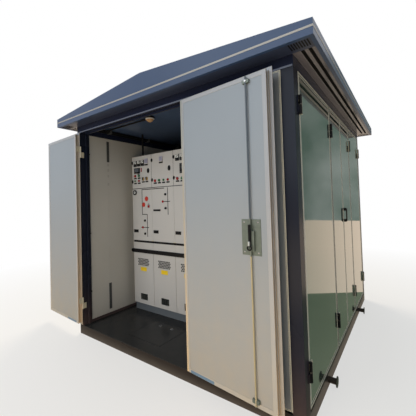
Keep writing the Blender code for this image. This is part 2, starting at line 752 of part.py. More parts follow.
def lock_gear(pivot, hand, width):
    """Lock plate, case, both shoot bolts and their guides, and the lever, on a leaf's inner face."""
    x = hand * (HINGE_HALF + width - LOCK_FROM_EDGE)
    face = FRONT_AXIS_OUT + LEAF_DEPTH - PANEL_RECESS + SEAT_GAP
    half = LOCK_PLATE_WIDTH / 2
    tall = LOCK_PLATE_HEIGHT / 2
    back = face + LOCK_PLATE_THICK
    low = (x - half, face, LOCK_CENTRE_Z - tall)
    high = (x + half, back, LOCK_CENTRE_Z + tall)
    gear = put("lock_gear", block(low, high), ZINC, parent=pivot)
    rod_y = face + ROD_STANDOFF
    bottom = LEAF_BOTTOM + SKIN_LIP + ROD_END_MARGIN
    top = LEAF_TOP - SKIN_LIP - ROD_END_MARGIN
    rod = turned([(ROD_RADIUS, bottom), (ROD_RADIUS, top)], SMALL_SIDES, (x, rod_y, 0), "Z")
    fuse(gear, rod, "rods")
    thick = rod_y + ROD_RADIUS - 0.001
    case_half = LOCK_PLATE_WIDTH / 5
    case_low = (x - case_half, back - 0.001, LOCK_CENTRE_Z - tall * 0.75)
    case_high = (x + case_half, thick, LOCK_CENTRE_Z + tall * 0.35)
    fuse(gear, block(case_low, case_high), "case")
    guides = []
    for z in (top - GUIDE_FROM_TOP, bottom + GUIDE_FROM_TOP - GUIDE_HEIGHT):
        foot = x - GUIDE_WIDTH / 2
        guides.append(block((foot, face, z), (foot + GUIDE_WIDTH, thick, z + GUIDE_HEIGHT)))
    fuse(gear, joined(guides), "guides")
    front = rod_y + ROD_RADIUS + SEAT_GAP
    lever_low = LOCK_CENTRE_Z - tall * 0.45
    lever = block(
        (x - LEVER_WIDTH / 2, front, lever_low),
        (x + LEVER_WIDTH / 2, front + LEVER_THICK, lever_low + LEVER_LENGTH),
    )
    handle = put("lock_lever", lever, LAMP_BLACK, parent=pivot)
    soften(handle, 0.003)


def make_front():
    """The pair of open leaves and the fixed leaf of the third bay."""
    front_leaf("left", 1, DOORWAY_LEFT + HINGE_HALF, LEFT_LEAF_WIDTH, -LEFT_LEAF_OPEN)
    rest = DOORWAY_WIDTH - LEFT_LEAF_WIDTH - 2 * HINGE_CLEARANCE - MEETING_CLEARANCE
    right = front_leaf("right", -1, DOORWAY_RIGHT - HINGE_HALF, rest, RIGHT_LEAF_OPEN)
    lock_gear(right, -1, rest)
    bay = BAY_RIGHT - BAY_LEFT - 2 * SEAT_GAP
    shift = BAY_LEFT + SEAT_GAP - HINGE_HALF
    fixed = whole_leaf_mesh(bay, 1, 0)
    put("front_fixed_panel", fixed, PANEL_GREY, (shift, FRONT, 0))


def side_door(letter, hand, hinge_y, width):
    """Closed leaf of the right side, on a pivot at its hinge axis."""
    pivot = empty_at(f"side_door_{letter}_axis", (RIGHT + SIDE_AXIS_OUT, hinge_y, 0), 90)
    leaf = whole_leaf_mesh(width, hand, SIDE_AXIS_OUT)
    door = put(f"side_door_{letter}", leaf, MIRROR_GREEN, parent=pivot)
    fuse_hinges(door, hand, HINGE_PLATE, True, SIDE_HINGE)
    return pivot


def make_side_doors():
    """Four leaves: a wide one, a pair of narrow ones that meet, and a last one hung at the rear."""
    near = FRONT + MULLION_FRONT_CENTRE
    far = FRONT + MULLION_REAR_CENTRE
    nose = MULLION_WIDTH / 2
    start = FRONT + POST_WIDTH
    end = REAR - POST_WIDTH
    play = HINGE_CLEARANCE + FREE_CLEARANCE
    side_door("a", 1, start + HINGE_HALF, near - nose - start - play)
    pair = (far - near - 2 * nose - 2 * HINGE_CLEARANCE - MEETING_CLEARANCE) / 2
    side_door("b", 1, near + nose + HINGE_HALF, pair)
    third = side_door("c", -1, far - nose - HINGE_HALF, pair)
    side_door("d", -1, end - HINGE_HALF, end - far - nose - play)
    pull_handle(third, -1, pair)


def pull_handle(pivot, hand, width):
    """Bent pull on the skin of the door, beside its free edge."""
    x = hand * (HINGE_HALF + width - PULL_FROM_EDGE)
    face = SIDE_AXIS_OUT + PANEL_RECESS - SEAT_GAP
    tall = PULL_HEIGHT / 2
    half = PULL_WIDTH / 2
    front = face - PULL_REACH
    foot = PULL_HEIGHT / 5
    grip = PULL_REACH / 3
    outline = [
        (face, PULL_Z - tall),
        (front + grip, PULL_Z - tall),
        (front, PULL_Z - tall + grip),
        (front, PULL_Z + tall - grip),
        (front + grip, PULL_Z + tall),
        (face, PULL_Z + tall),
        (face, PULL_Z + tall - foot),
        (front + grip, PULL_Z + tall - foot),
        (front + grip, PULL_Z - tall + foot),
        (face, PULL_Z - tall + foot),
    ]
    put("side_door_pull", pushed(outline, x - half, x + half, "X"), LAMP_BLACK, parent=pivot)


def eaves_loops(profile):
    """Loops round the eaves for each (inset, height) of a profile."""
    loops = []
    for inset, z in profile:
        x0 = EAVES_LEFT + inset
        x1 = EAVES_RIGHT - inset
        y0 = EAVES_FRONT + inset
        y1 = EAVES_REAR - inset
        loops.append([(x0, y0, z), (x1, y0, z), (x1, y1, z), (x0, y1, z)])
    return loops


def make_eaves():
    """Folded eaves band with a return that carries the soffits, and the light trim on top of it."""
    band = [
        (0, EAVES_BOTTOM),
        (BAND_RETURN, EAVES_BOTTOM),
        (BAND_RETURN, EAVES_BOTTOM + SHEET_THICK),
        (SHEET_THICK, EAVES_BOTTOM + SHEET_THICK),
        (SHEET_THICK, BAND_TOP),
        (0, BAND_TOP),
    ]
    put("eaves_band", lofted(eaves_loops(band), ring=True), ROOF_BLUE)
    low = BAND_TOP + SEAT_GAP
    trim = [
        (-TRIM_PROUD, low),
        (TRIM_DEPTH, low),
        (TRIM_DEPTH, TRIM_TOP),
        (-TRIM_PROUD, TRIM_TOP),
    ]
    put("eaves_trim", lofted(eaves_loops(trim), ring=True), TRIM_GREY)


def make_roof():
    """Gable cover: a prism open underneath, given its sheet thickness inwards."""
    top = COVER_BOTTOM + COVER_EDGE_HEIGHT
    outline = [
        (EAVES_LEFT, COVER_BOTTOM),
        (EAVES_RIGHT, COVER_BOTTOM),
        (EAVES_RIGHT, top),
        (0, top + RIDGE_RISE),
        (EAVES_LEFT, top),
    ]
    bm = pushed(outline, EAVES_FRONT, EAVES_REAR, "Y")
    under = [face for face in bm.faces if face.calc_center_median().z < COVER_BOTTOM + 1e-6]
    bmesh.ops.delete(bm, geom=under, context="FACES_ONLY")
    cover = put("roof_cover", bm, ROOF_BLUE)
    sheet = cover.modifiers.new("sheet", "SOLIDIFY")
    sheet.thickness = SHEET_THICK
    sheet.offset = -1
    sheet.use_even_offset = True


def folded_outline(width):
    """Soffit sheet with two square folds that run along the eaves."""
    low = SOFFIT_Z
    high = SOFFIT_Z + SOFFIT_THICK
    lift = SOFFIT_FOLD_DEPTH
    under = [(0, low)]
    over = [(0, high)]
    for fold in range(2):
        start = SOFFIT_FOLD_START + fold * SOFFIT_FOLD_PITCH
        end = start + SOFFIT_FOLD_WIDTH
        under += [(start, low), (start, low + lift), (end, low + lift), (end, low)]
        thick = SOFFIT_THICK
        over += [(start - thick, high), (start - thick, high + lift)]
        over += [(end + thick, high + lift), (end + thick, high)]
    return under + [(width, low), (width, high)] + over[::-1]


def make_soffits():
    """Folded sheets under the side eaves, and flat ones with vent slots under the front and rear."""
    reach = SIDE_OVERHANG - SHEET_THICK - SEAT_GAP
    for name, x, turn in (("soffit_right", RIGHT, 0), ("soffit_left", LEFT, 180)):
        outline = [(a + SEAT_GAP, b) for a, b in folded_outline(reach - SEAT_GAP)]
        sheet = put(name, pushed(outline, FRONT, REAR, "Y"), SOFFIT_GREY, (x, 0, 0))
        sheet.rotation_euler = (0, 0, math.radians(turn))
    for name, y, overhang, side in (
        ("soffit_front", FRONT, FRONT_OVERHANG, -1),
        ("soffit_rear", REAR, REAR_OVERHANG, 1),
    ):
        end = EAVES_RIGHT - SHEET_THICK - SEAT_GAP
        rows = sorted((side * SEAT_GAP, side * (overhang - SHEET_THICK - SEAT_GAP)))
        bm = block((-end, rows[0], SOFFIT_Z), (end, rows[1], SOFFIT_Z + SOFFIT_THICK))
        sheet = put(name, bm, SOFFIT_GREY, (0, y, 0))
        cut(sheet, vent_slots(end, side * overhang / 2), "slots")


def vent_slots(end, middle_y):
    """A row of short slots at each end of a soffit, each slot across the sheet."""
    slots = []
    half = VENT_SLOT_LENGTH / 2
    for corner in (-1, 1):
        for i in range(VENT_SLOTS):
            x = corner * (end - VENT_FROM_END - i * VENT_SLOT_PITCH)
            low = (x - VENT_SLOT_WIDTH / 2, middle_y - half, SOFFIT_Z - CUT_SPARE)
            high = (x + VENT_SLOT_WIDTH / 2, middle_y + half, SOFFIT_Z + CUT_SPARE)
            slots.append(block(low, high))
    return joined(slots)


def make_ceiling():
    """Ceiling sheet between the head rails, a bulkhead lamp under it and a conduit down to the gear."""
    inset = POST_DEPTH + SEAT_GAP
    low = (LEFT + inset, FRONT + inset, CEILING_Z)
    high = (RIGHT - inset, REAR - inset, CEILING_Z + CEILING_THICK)
    put("ceiling", block(low, high), CEILING_NAVY)
    x = LEFT + LAMP_FROM_LEFT
    y = FRONT + LAMP_FROM_FRONT
    top = -SEAT_GAP
    foot = top - LAMP_BASE_HEIGHT
    base = [(LAMP_BASE_RADIUS, top), (LAMP_BASE_RADIUS, foot + 0.004), (LAMP_BASE_RADIUS - 0.004, foot)]
    body = turned(base, ROUND_SIDES, (0, 0, 0), "Z")
    put("lamp_base", body, LAMP_BLACK, (x, y, CEILING_Z), smooth=True)
    start = foot - SEAT_GAP
    globe = []
    for step in range(6):
        angle = math.radians(15 * step)
        globe.append((LAMP_GLOBE_RADIUS * math.cos(angle), start - LAMP_GLOBE_DROP * math.sin(angle)))
    glass = turned(globe, ROUND_SIDES, (0, 0, 0), "Z")
    put("lamp_globe", glass, LAMP_AMBER, (x, y, CEILING_Z), smooth=True)
    spot = (LEFT + CONDUIT_FROM_LEFT, FRONT + CONDUIT_FROM_FRONT, 0)
    run = [(CONDUIT_RADIUS, UNIT_TOP + SEAT_GAP), (CONDUIT_RADIUS, CEILING_Z - SEAT_GAP)]
    put("conduit", turned(run, SMALL_SIDES, (0, 0, 0), "Z"), LAMP_BLACK, spot, smooth=True)


def make_gear_body():
    """Plinth and welded body of the ring main unit, stepped where covers and doors lie on its front."""
    x0 = LEFT + UNIT_FROM_LEFT
    x1 = x0 + UNIT_COUNT * UNIT_PITCH
    front = FRONT + UNIT_FRONT
    rear = front + UNIT_DEPTH
    plinth_front = front + PLINTH_SETBACK
    foot = block((x0 + PLINTH_SETBACK, plinth_front, STAND_Z), (x1, rear, PLINTH_TOP - SEAT_GAP))
    put("switchgear_plinth", foot, PLINTH_BLUE)
    behind = front + UNIT_FASCIA
    outline = [
        (behind, PLINTH_TOP),
        (behind, COVER_TOP + SEAT_GAP),
        (front + BAND_SETBACK, COVER_TOP + SEAT_GAP),
        (front + BAND_SETBACK, MECHANISM_BOTTOM),
        (front, MECHANISM_BOTTOM),
        (front, MECHANISM_TOP),
        (behind, MECHANISM_TOP),
        (behind, UNIT_TOP),
        (rear, UNIT_TOP),
        (rear, PLINTH_TOP),
    ]
    body = put("switchgear_body", pushed(outline, x0, x1, "X"), GEAR_WHITE)
    seams = []
    half = MECHANISM_JOINT / 2
    for i in range(1, UNIT_COUNT):
        x = x0 + i * UNIT_PITCH
        low = (x - half, front - CUT_SPARE, COVER_TOP - CUT_SPARE)
        seams.append(block(low, (x + half, front + UNIT_FASCIA, MECHANISM_TOP + CUT_SPARE)))
    cut(body, joined(seams), "joints")
    slots = []
    slot_z = MECHANISM_BOTTOM + SLOT_FROM_FOOT
    for i in range(UNIT_COUNT):
        x = x0 + i * UNIT_PITCH
        low = (x + SLOT_INSET, front - CUT_SPARE, slot_z)
        high = (x + UNIT_PITCH - SLOT_INSET, front + BAND_SETBACK, slot_z + SLOT_HEIGHT)
        slots.append(block(low, high))
    cut(body, joined(slots), "drawn_slots")
    fuse(body, operating_bosses(x0, front), "bosses")


def boss(radius, proud, spot, sides):
    """Turned boss that stands out of a front facing -Y, with its rim chamfered."""
    x, front, z = spot
    profile = [
        (radius, front + ROOT),
        (radius, front - proud + KNOB_CHAMFER),
        (radius - KNOB_CHAMFER, front - proud),
    ]
    return turned(profile, sides, (x, 0, z), "Y")


def operating_bosses(x0, front):
    """Bosses of the operating shafts, low on the first panel and high on the others, and a dial."""
    bosses = []
    low = MECHANISM_BOTTOM + KNOB_FROM_FOOT
    high = MECHANISM_TOP - KNOB_FROM_TOP - KNOB_SPREAD
    for i in range(UNIT_COUNT):
        x = x0 + i * UNIT_PITCH + KNOB_FROM_EDGE
        start = low if i == 0 else high
        for z in (start, start + KNOB_SPREAD):
            bosses.append(boss(KNOB_RADIUS, KNOB_PROUD, (x, front, z), SMALL_SIDES))
    spot = (x0 + DIAL_FROM_EDGE, front, MECHANISM_TOP - DIAL_FROM_TOP)
    bosses.append(boss(DIAL_RADIUS, DIAL_PROUD, spot, ROUND_SIDES))
    return joined(bosses)


def vent_holes(x, front, behind):
    """Staggered square holes through a cover."""
    holes = []
    for row in range(VENT_ROWS):
        z = COVER_TOP - VENT_FROM_TOP - VENT_HOLE_HEIGHT - row * VENT_ROW_PITCH
        stagger = VENT_PITCH / 4 if row % 2 else -VENT_PITCH / 4
        for column in range(VENT_COLUMNS):
            middle = x + stagger + (column - (VENT_COLUMNS - 1) / 2) * VENT_PITCH
            low = (middle - VENT_HOLE_WIDTH / 2, front - CUT_SPARE, z)
            high = (middle + VENT_HOLE_WIDTH / 2, behind + CUT_SPARE, z + VENT_HOLE_HEIGHT)
            holes.append(block(low, high))
    return joined(holes)


def cable_cover(number, edge, front):
    """Lift-off cover of a cable compartment: vent holes, a bare label recess and a viewing window."""
    half = UNIT_JOINT / 2
    behind = front + UNIT_FASCIA - SEAT_GAP
    low = (edge + half, front, PLINTH_TOP + SEAT_GAP)
    slab = block(low, (edge + UNIT_PITCH - half, behind, COVER_TOP))
    cover = put(f"cable_cover_{number}", slab, GEAR_WHITE)
    x = edge + UNIT_PITCH / 2
    cut(cover, vent_holes(x, front, behind), "vent_holes")
    recesses = []
    window = (WINDOW_WIDTH, PLINTH_TOP + WINDOW_FROM_FOOT, WINDOW_HEIGHT, WINDOW_RECESS)
    label = (LABEL_WIDTH, COVER_TOP - LABEL_FROM_TOP - LABEL_HEIGHT, LABEL_HEIGHT, LABEL_RECESS)
    for width, base, height, depth in (window, label):
        start = (x - width / 2, front - CUT_SPARE, base)
        recesses.append(block(start, (x + width / 2, front + depth, base + height)))
    cut(cover, joined(recesses), "recesses")


def raised_box(x, front, z, width, height, proud):
    """Flat instrument case that stands out of a front facing -Y."""
    low = (x - width / 2, front - proud, z - height / 2)
    return block(low, (x + width / 2, front + ROOT, z + height / 2))


def low_voltage_door(number, edge, front, meters, lamp_rows, keys, display):
    """Door of a low-voltage box, with its meters, lamp and key bosses and its relay display."""
    half = UNIT_JOINT / 2
    behind = front + UNIT_FASCIA - SEAT_GAP
    low = (edge + half, front, MECHANISM_TOP + UNIT_JOINT)
    slab = block(low, (edge + UNIT_PITCH - half, behind, UNIT_TOP))
    door = put(f"lv_door_{number}", slab, GEAR_WHITE)
    raised = []
    first, count = meters
    for i in range(count):
        x = edge + first + i * METER_PITCH
        z = UNIT_TOP - METER_FROM_TOP
        raised.append(raised_box(x, front, z, METER_WIDTH, METER_HEIGHT, METER_PROUD))
    for drop, lamps in lamp_rows:
        for i in range(lamps):
            spot = (edge + LAMP_BOSS_FROM_EDGE + i * LAMP_BOSS_PITCH, front, UNIT_TOP - drop)
            raised.append(boss(LAMP_BOSS_RADIUS, LAMP_BOSS_PROUD, spot, SMALL_SIDES))
    for i in range(keys):
        spot = (edge + KEYS_FROM_EDGE + i * KEY_PITCH, front, UNIT_TOP - KEYS_FROM_TOP)
        raised.append(boss(KEY_BOSS_RADIUS, KEY_BOSS_PROUD, spot, SMALL_SIDES))
    if display:
        across, drop, width, height = display
        z = UNIT_TOP - drop
        raised.append(raised_box(edge + across, front, z, width, height, DISPLAY_PROUD))
    fuse(door, joined(raised), "instruments")


def make_switchgear():
    """Ring main unit of four equal panels side by side, with two plain ones and two with a relay."""
    make_gear_body()
    front = FRONT + UNIT_FRONT
    wide = (DISPLAY_FROM_EDGE, DISPLAY_FROM_TOP, DISPLAY_WIDTH, DISPLAY_HEIGHT)
    across = TALL_DISPLAY_FROM_EDGE
    tall = (across, TALL_DISPLAY_FROM_TOP, TALL_DISPLAY_WIDTH, TALL_DISPLAY_HEIGHT)
    single = (SINGLE_METER_FROM_EDGE, 1)
    upper = (UPPER_LAMPS_FROM_TOP, LAMP_PAIR_COUNT)
    lower = (LOWER_LAMPS_FROM_TOP, LAMP_PAIR_COUNT)
    one_row = ((SINGLE_LAMPS_FROM_TOP, LAMP_BOSS_COUNT),)
    fittings = [
        ((METER_FROM_EDGE, 4), (upper, lower), 2, wide),
        (single, one_row, 0, None),
        ((METER_FROM_EDGE, 2), one_row, 0, tall),
        (single, one_row, 0, None),
    ]
    for i, (meters, lamp_rows, keys, display) in enumerate(fittings):
        edge = LEFT + UNIT_FROM_LEFT + i * UNIT_PITCH
        cable_cover(i + 1, edge, front)
        low_voltage_door(i + 1, edge, front, meters, lamp_rows, keys, display)


make_base()
make_floor()
make_uprights()
make_lintels()
make_walls()
make_front()
make_side_doors()
make_eaves()
make_roof()
make_soffits()
make_ceiling()
make_switchgear()
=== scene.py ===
# %% [markdown]
# # Dressing a walk-in compact substation
# The solids of the kiosk arrive as a fixed frame. This lesson gives every one of them a finish,
# adds the small fittings that are too fine for the solids, and sets up the camera and the light.
# A frame that stays put lets each fitting be given one place on the kiosk, in metres. Those
# places are estimates, read from the photograph through the camera that is set up below.

import math
from functools import partial

import bmesh
import bpy
from mathutils import Matrix, Vector


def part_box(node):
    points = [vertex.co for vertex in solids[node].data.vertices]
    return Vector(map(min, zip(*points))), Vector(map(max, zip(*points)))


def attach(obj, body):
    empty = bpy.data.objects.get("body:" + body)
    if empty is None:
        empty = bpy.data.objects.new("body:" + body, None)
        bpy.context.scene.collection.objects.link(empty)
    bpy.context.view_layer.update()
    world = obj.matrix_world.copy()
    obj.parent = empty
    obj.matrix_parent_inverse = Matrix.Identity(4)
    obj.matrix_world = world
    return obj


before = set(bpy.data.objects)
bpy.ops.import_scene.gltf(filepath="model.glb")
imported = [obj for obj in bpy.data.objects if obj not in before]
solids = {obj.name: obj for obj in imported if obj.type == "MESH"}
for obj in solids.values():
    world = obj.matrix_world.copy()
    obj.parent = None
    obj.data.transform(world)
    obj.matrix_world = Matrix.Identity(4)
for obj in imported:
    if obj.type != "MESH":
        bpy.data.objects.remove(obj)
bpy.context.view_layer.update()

# %% [markdown]
# ## Where things are
# A kiosk maker measures from the left outer wall, back from the front wall, and up from the
# ground. The frame's origin is the middle of the base instead. One small function turns the
# maker's sizes into the frame's, so a tape measure on a real kiosk could check the numbers below.

# %% The maker's measures
WIDTH = 2.250
LENGTH = 2.460


def place(x, y, z):
    """Point given from the left wall, the front wall and the ground."""
    return (x - WIDTH / 2, y - LENGTH / 2, z)


print("left wall at", place(0, 0, 0)[0], "front wall at", place(0, 0, 0)[1])

# %% [markdown]
# The two front leaves stand open, so fittings on them are easier to give along the leaf. Each
# leaf gets a matrix: its own x runs along the leaf from the hinge, y points out of its inner
# face and z is up. A fitting is drawn flat in that frame and then turned with the leaf.

# %% Frames of the open leaves
LEAF_FACE = 0.045
LEFT_HINGE_X = 0.0625
RIGHT_HINGE_X = 1.4495
HINGE_Y = -0.005


def leaf_frame(x, turn):
    """Matrix of a leaf whose hinge axis stands at x and which is turned by degrees from closed."""
    spot = Matrix.Translation(Vector(place(x, HINGE_Y, 0)))
    return spot @ Matrix.Rotation(math.radians(turn), 4, "Z")


LEAF_FRAMES = {
    "left_leaf": leaf_frame(LEFT_HINGE_X, -182.8),
    "right_leaf": leaf_frame(RIGHT_HINGE_X, 175.1),
}
print("leaf frames", list(LEAF_FRAMES))

# %% [markdown]
# ## Camera
# The photograph was taken standing in front of the right corner, at chest height, with a wide
# lens. Matching straight edges of the kiosk to the picture gives the eye point, the direction
# and the focal length. The picture is a crop, so its middle isn't quite the lens axis: a small
# shift puts that right.

# %% Camera from the matched edges
PICTURE = 416
FOCAL_PIXELS = 276.125
AXIS_ROW = 194.73
EYE = Vector(place(2.735, -1.524, 1.280))
YAW, PITCH, ROLL = (math.radians(turn) for turn in (35.727, 1.600, -1.720))


def stand(name, data):
    """New object in the scene from a camera, a lamp or a mesh."""
    made = bpy.data.objects.new(name, data)
    bpy.context.scene.collection.objects.link(made)
    return made


ahead = Vector((-math.sin(YAW) * math.cos(PITCH), math.cos(YAW) * math.cos(PITCH), math.sin(PITCH)))
level = Vector((math.cos(YAW), math.sin(YAW), 0.0))
over = level.cross(ahead)
right = level * math.cos(ROLL) + over * math.sin(ROLL)
up = over * math.cos(ROLL) - level * math.sin(ROLL)
lens = bpy.data.cameras.new("photo_camera")
lens.sensor_width = 36.0
lens.lens = FOCAL_PIXELS / PICTURE * lens.sensor_width
lens.shift_y = (AXIS_ROW - PICTURE / 2) / PICTURE
lens.clip_start = 0.05
lens.clip_end = 200.0
camera = stand("photo_camera", lens)
camera.matrix_world = Matrix.Translation(EYE) @ Matrix((right, up, -ahead)).transposed().to_4x4()
bpy.context.scene.camera = camera
print("eye", EYE, "lens", round(lens.lens, 2))

# %% [markdown]
# ## Shader node groups
# Powder-coated sheet, rolled steel and extruded aluminium share a few effects: a soft mottle in
# the colour, the fine orange peel of a coating, dust that settles low down, and edges that catch
# the light. Each effect is built once as a group with named sockets, and every material places
# it with its own values. A change to one group then reaches all of them.

# %% Helpers that lay out nodes
def group_of(name, inputs, outputs):
    """New shader group with named sockets. Hands back it, what comes in and what goes out."""
    group = bpy.data.node_groups.new(name, "ShaderNodeTree")
    for label, kind, value in inputs:
        socket = group.interface.new_socket(label, in_out="INPUT", socket_type=f"NodeSocket{kind}")
        socket.default_value = value
    for label, kind in outputs:
        group.interface.new_socket(label, in_out="OUTPUT", socket_type=f"NodeSocket{kind}")
    return group, group.nodes.new("NodeGroupInput").outputs, group.nodes.new("NodeGroupOutput").inputs


def feed(tree, socket, value):
    """Links a socket to another one, or sets it to a plain value."""
    if isinstance(value, bpy.types.NodeSocket):
        tree.links.new(value, socket)
    else:
        socket.default_value = value


def feed_all(tree, sockets, **values):
    """Feeds several sockets by name, with _ for a space in a name."""
    for label, value in values.items():
        feed(tree, sockets[label.replace("_", " ")], value)


def calc(tree, operation, first, second=0.0, clamp=False):
    """Math node with both inputs fed, which hands back its output."""
    node = tree.nodes.new("ShaderNodeMath")
    node.operation = operation
    node.use_clamp = clamp
    feed(tree, node.inputs[0], first)
    feed(tree, node.inputs[1], second)
    return node.outputs[0]


def vector_step(tree, operation, first, second=(0.0, 0.0, 0.0)):
    """Vector math node. A dot product or a length hands back a number, the others a vector."""
    node = tree.nodes.new("ShaderNodeVectorMath")
    node.operation = operation
    feed(tree, node.inputs[0], first)
    feed(tree, node.inputs[1], second)
    return node.outputs["Value" if operation in ("DOT_PRODUCT", "LENGTH") else "Vector"]


def split_axes(tree, vector):
    """The X, Y and Z of a vector as three outputs."""
    node = tree.nodes.new("ShaderNodeSeparateXYZ")
    feed(tree, node.inputs[0], vector)
    return node.outputs


def blend(tree, amount, first, second, kind="MIX"):
    """Colour mix of two colours by an amount."""
    node = tree.nodes.new("ShaderNodeMix")
    node.data_type = "RGBA"
    node.blend_type = kind
    feed_all(tree, node.inputs, Factor=amount, A=first, B=second)
    return node.outputs["Result"]


def noise(tree, coordinates, scale, detail=3.0):
    """Noise texture's value at the given coordinates."""
    node = tree.nodes.new("ShaderNodeTexNoise")
    feed_all(tree, node.inputs, Vector=coordinates, Scale=scale, Detail=detail)
    return node.outputs["Fac"]


def own_coordinates(tree):
    """The piece's own coordinates, which stay with it when a door swings."""
    return tree.nodes.new("ShaderNodeTexCoord").outputs["Object"]


print("node helpers ready")

# %% [markdown]
# ### Coated sheet
# Powder coat is never quite even. A slow noise lightens and darkens the colour by a few per
# cent, a fast one gives the orange peel as height for a bump, and a mask that fades with height
# above the ground lays fine dust on the lowest part. Some materials feed a warm light colour
# into the dust inputs instead, and on them the same mask paints the light that the sunny ground
# throws up, a painted bounce light.

# %% Group: coated sheet
WHITE4 = (1.0, 1.0, 1.0, 1.0)
EARTH = (0.42, 0.36, 0.30, 1.0)
coat_group, given, result = group_of(
    "coated_sheet",
    [
        ("Colour", "Color", WHITE4),
        ("Dust Colour", "Color", EARTH),
        ("Mottle", "Float", 0.08),
        ("Dust", "Float", 0.3),
        ("Dust Height", "Float", 0.35),
        ("Roughness", "Float", 0.4),
        ("Peel Scale", "Float", 260.0),
    ],
    [("Colour", "Color"), ("Roughness", "Float"), ("Height", "Float")],
)
step = partial(calc, coat_group)
where = own_coordinates(coat_group)
off_middle = step("SUBTRACT", noise(coat_group, where, 1.7, 4.0), 0.5)
swing = step("MULTIPLY", off_middle, given["Mottle"])
light = step("ADD", 1.0, step("MULTIPLY", swing, 2.0))
shaded = blend(coat_group, 1.0, given["Colour"], light, "MULTIPLY")
rise = step("DIVIDE", split_axes(coat_group, where)["Z"], given["Dust Height"], True)
low_part = step("POWER", step("SUBTRACT", 1.0, rise), 2.0)
patchy = step("ADD", step("MULTIPLY", noise(coat_group, where, 14.0, 6.0), 0.6), 0.52, True)
# Dust on most paints, painted bounce light where the dust colour is a warm light colour.
settled_dust_and_light = step("MULTIPLY", step("MULTIPLY", low_part, patchy), given["Dust"])
dull = step("ADD", given["Roughness"], step("MULTIPLY", settled_dust_and_light, 0.4))
feed_all(
    coat_group,
    result,
    Colour=blend(coat_group, settled_dust_and_light, shaded, given["Dust Colour"]),
    Roughness=step("ADD", dull, step("MULTIPLY", off_middle, 0.12), True),
    Height=noise(coat_group, where, given["Peel Scale"], 2.0),
)
print("group", coat_group.name, len(coat_group.nodes), "nodes")

# %% [markdown]
# ### Worn and rounded edges, with painted highlight
# Folded sheet has a small radius at each fold, and the coating there rubs thin. The Bevel node
# averages the normal near an edge. Its result serves twice: as the shading normal, which rounds
# the fold, and compared with the flat normal, which tells how near the edge a point is. The
# materials lighten their colour along that mask, partly as wear and partly as a painted highlight.

# %% Group: folded edges
edge_group, given, result = group_of(
    "folded_edges",
    [("Radius", "Float", 0.0015), ("Wear", "Float", 0.4), ("Breakup Scale", "Float", 30.0)],
    [("Normal", "Vector"), ("Edge", "Float")],
)
step = partial(calc, edge_group)
rounding = edge_group.nodes.new("ShaderNodeBevel")
rounding.samples = 4
feed(edge_group, rounding.inputs["Radius"], given["Radius"])
rounded = rounding.outputs["Normal"]
flat = edge_group.nodes.new("ShaderNodeNewGeometry").outputs["Normal"]
likeness = vector_step(edge_group, "DOT_PRODUCT", rounded, flat)
sharp = step("MULTIPLY", step("SUBTRACT", 1.0, likeness, True), 6.0, True)
rubbed = noise(edge_group, own_coordinates(edge_group), given["Breakup Scale"], 5.0)
# Wear on the folds, and the line where the materials paint a highlight.
wear_and_highlight_edge = step("MULTIPLY", step("MULTIPLY", sharp, rubbed), given["Wear"], True)
feed_all(edge_group, result, Normal=rounded, Edge=wear_and_highlight_edge)
print("group", edge_group.name, len(edge_group.nodes), "nodes")

# %% [markdown]
# ### Drawn metal
# An extruded or rolled section carries fine lines along its length. Noise that is stretched
# strongly along one axis gives them. The stretch is an input, so the lines can run up a door
# edge or along an eaves trim.

# %% Group: drawn metal
drawn_group, given, result = group_of(
    "drawn_metal",
    [
        ("Colour", "Color", WHITE4),
        ("Stretch", "Vector", (400.0, 400.0, 4.0)),
        ("Depth", "Float", 0.2),
        ("Roughness", "Float", 0.3),
    ],
    [("Colour", "Color"), ("Roughness", "Float"), ("Height", "Float")],
)
step = partial(calc, drawn_group)
stretched = vector_step(drawn_group, "MULTIPLY", own_coordinates(drawn_group), given["Stretch"])
lines = noise(drawn_group, stretched, 1.0, 3.0)
depth = step("MULTIPLY", step("SUBTRACT", lines, 0.5), given["Depth"])
feed_all(
    drawn_group,
    result,
    Colour=blend(drawn_group, 1.0, given["Colour"], step("ADD", 1.0, depth), "MULTIPLY"),
    Roughness=step("ADD", given["Roughness"], depth, True),
    Height=lines,
)
print("group", drawn_group.name, len(drawn_group.nodes), "nodes")

# %% [markdown]
# ### Masks
# Some solids show two finishes: a door skin has a bright rim, and a wall panel is green outside
# and light grey inside. The mesh of a solid is never changed, so a mask tells the finishes
# apart: one by the distance to the rim of a flat piece, one by the side that a face looks to.

# %% Group: rim mask
GROOVE_PLACE = 0.42
GROOVE_HALF = 0.12
rim_group, given, result = group_of(
    "rim_mask",
    [
        ("Centre", "Vector", (0.0, 0.0, 0.0)),
        ("Half Size", "Vector", (1.0, 1.0, 1.0)),
        ("Rim", "Float", 0.012),
    ],
    [("Rim", "Float"), ("Groove", "Float")],
)
step = partial(calc, rim_group)
offset = vector_step(rim_group, "SUBTRACT", own_coordinates(rim_group), given["Centre"])
away = vector_step(rim_group, "ABSOLUTE", offset)
beyond = split_axes(rim_group, vector_step(rim_group, "SUBTRACT", away, given["Half Size"]))
nearest = step("MAXIMUM", step("MAXIMUM", beyond[0], beyond[1]), beyond[2])
across_rim = step("ADD", step("DIVIDE", nearest, given["Rim"]), 1.0)
off_line = step("ABSOLUTE", step("SUBTRACT", across_rim, GROOVE_PLACE))
feed_all(
    rim_group,
    result,
    Rim=step("GREATER_THAN", across_rim, 0.0),
    Groove=step("LESS_THAN", off_line, GROOVE_HALF),
)
print("group", rim_group.name, len(rim_group.nodes), "nodes")

# %% [markdown]
# The side mask compares the way that a face looks, in the piece's own axes, with a direction.
# A face that is within about 37 degrees of it counts as that side.

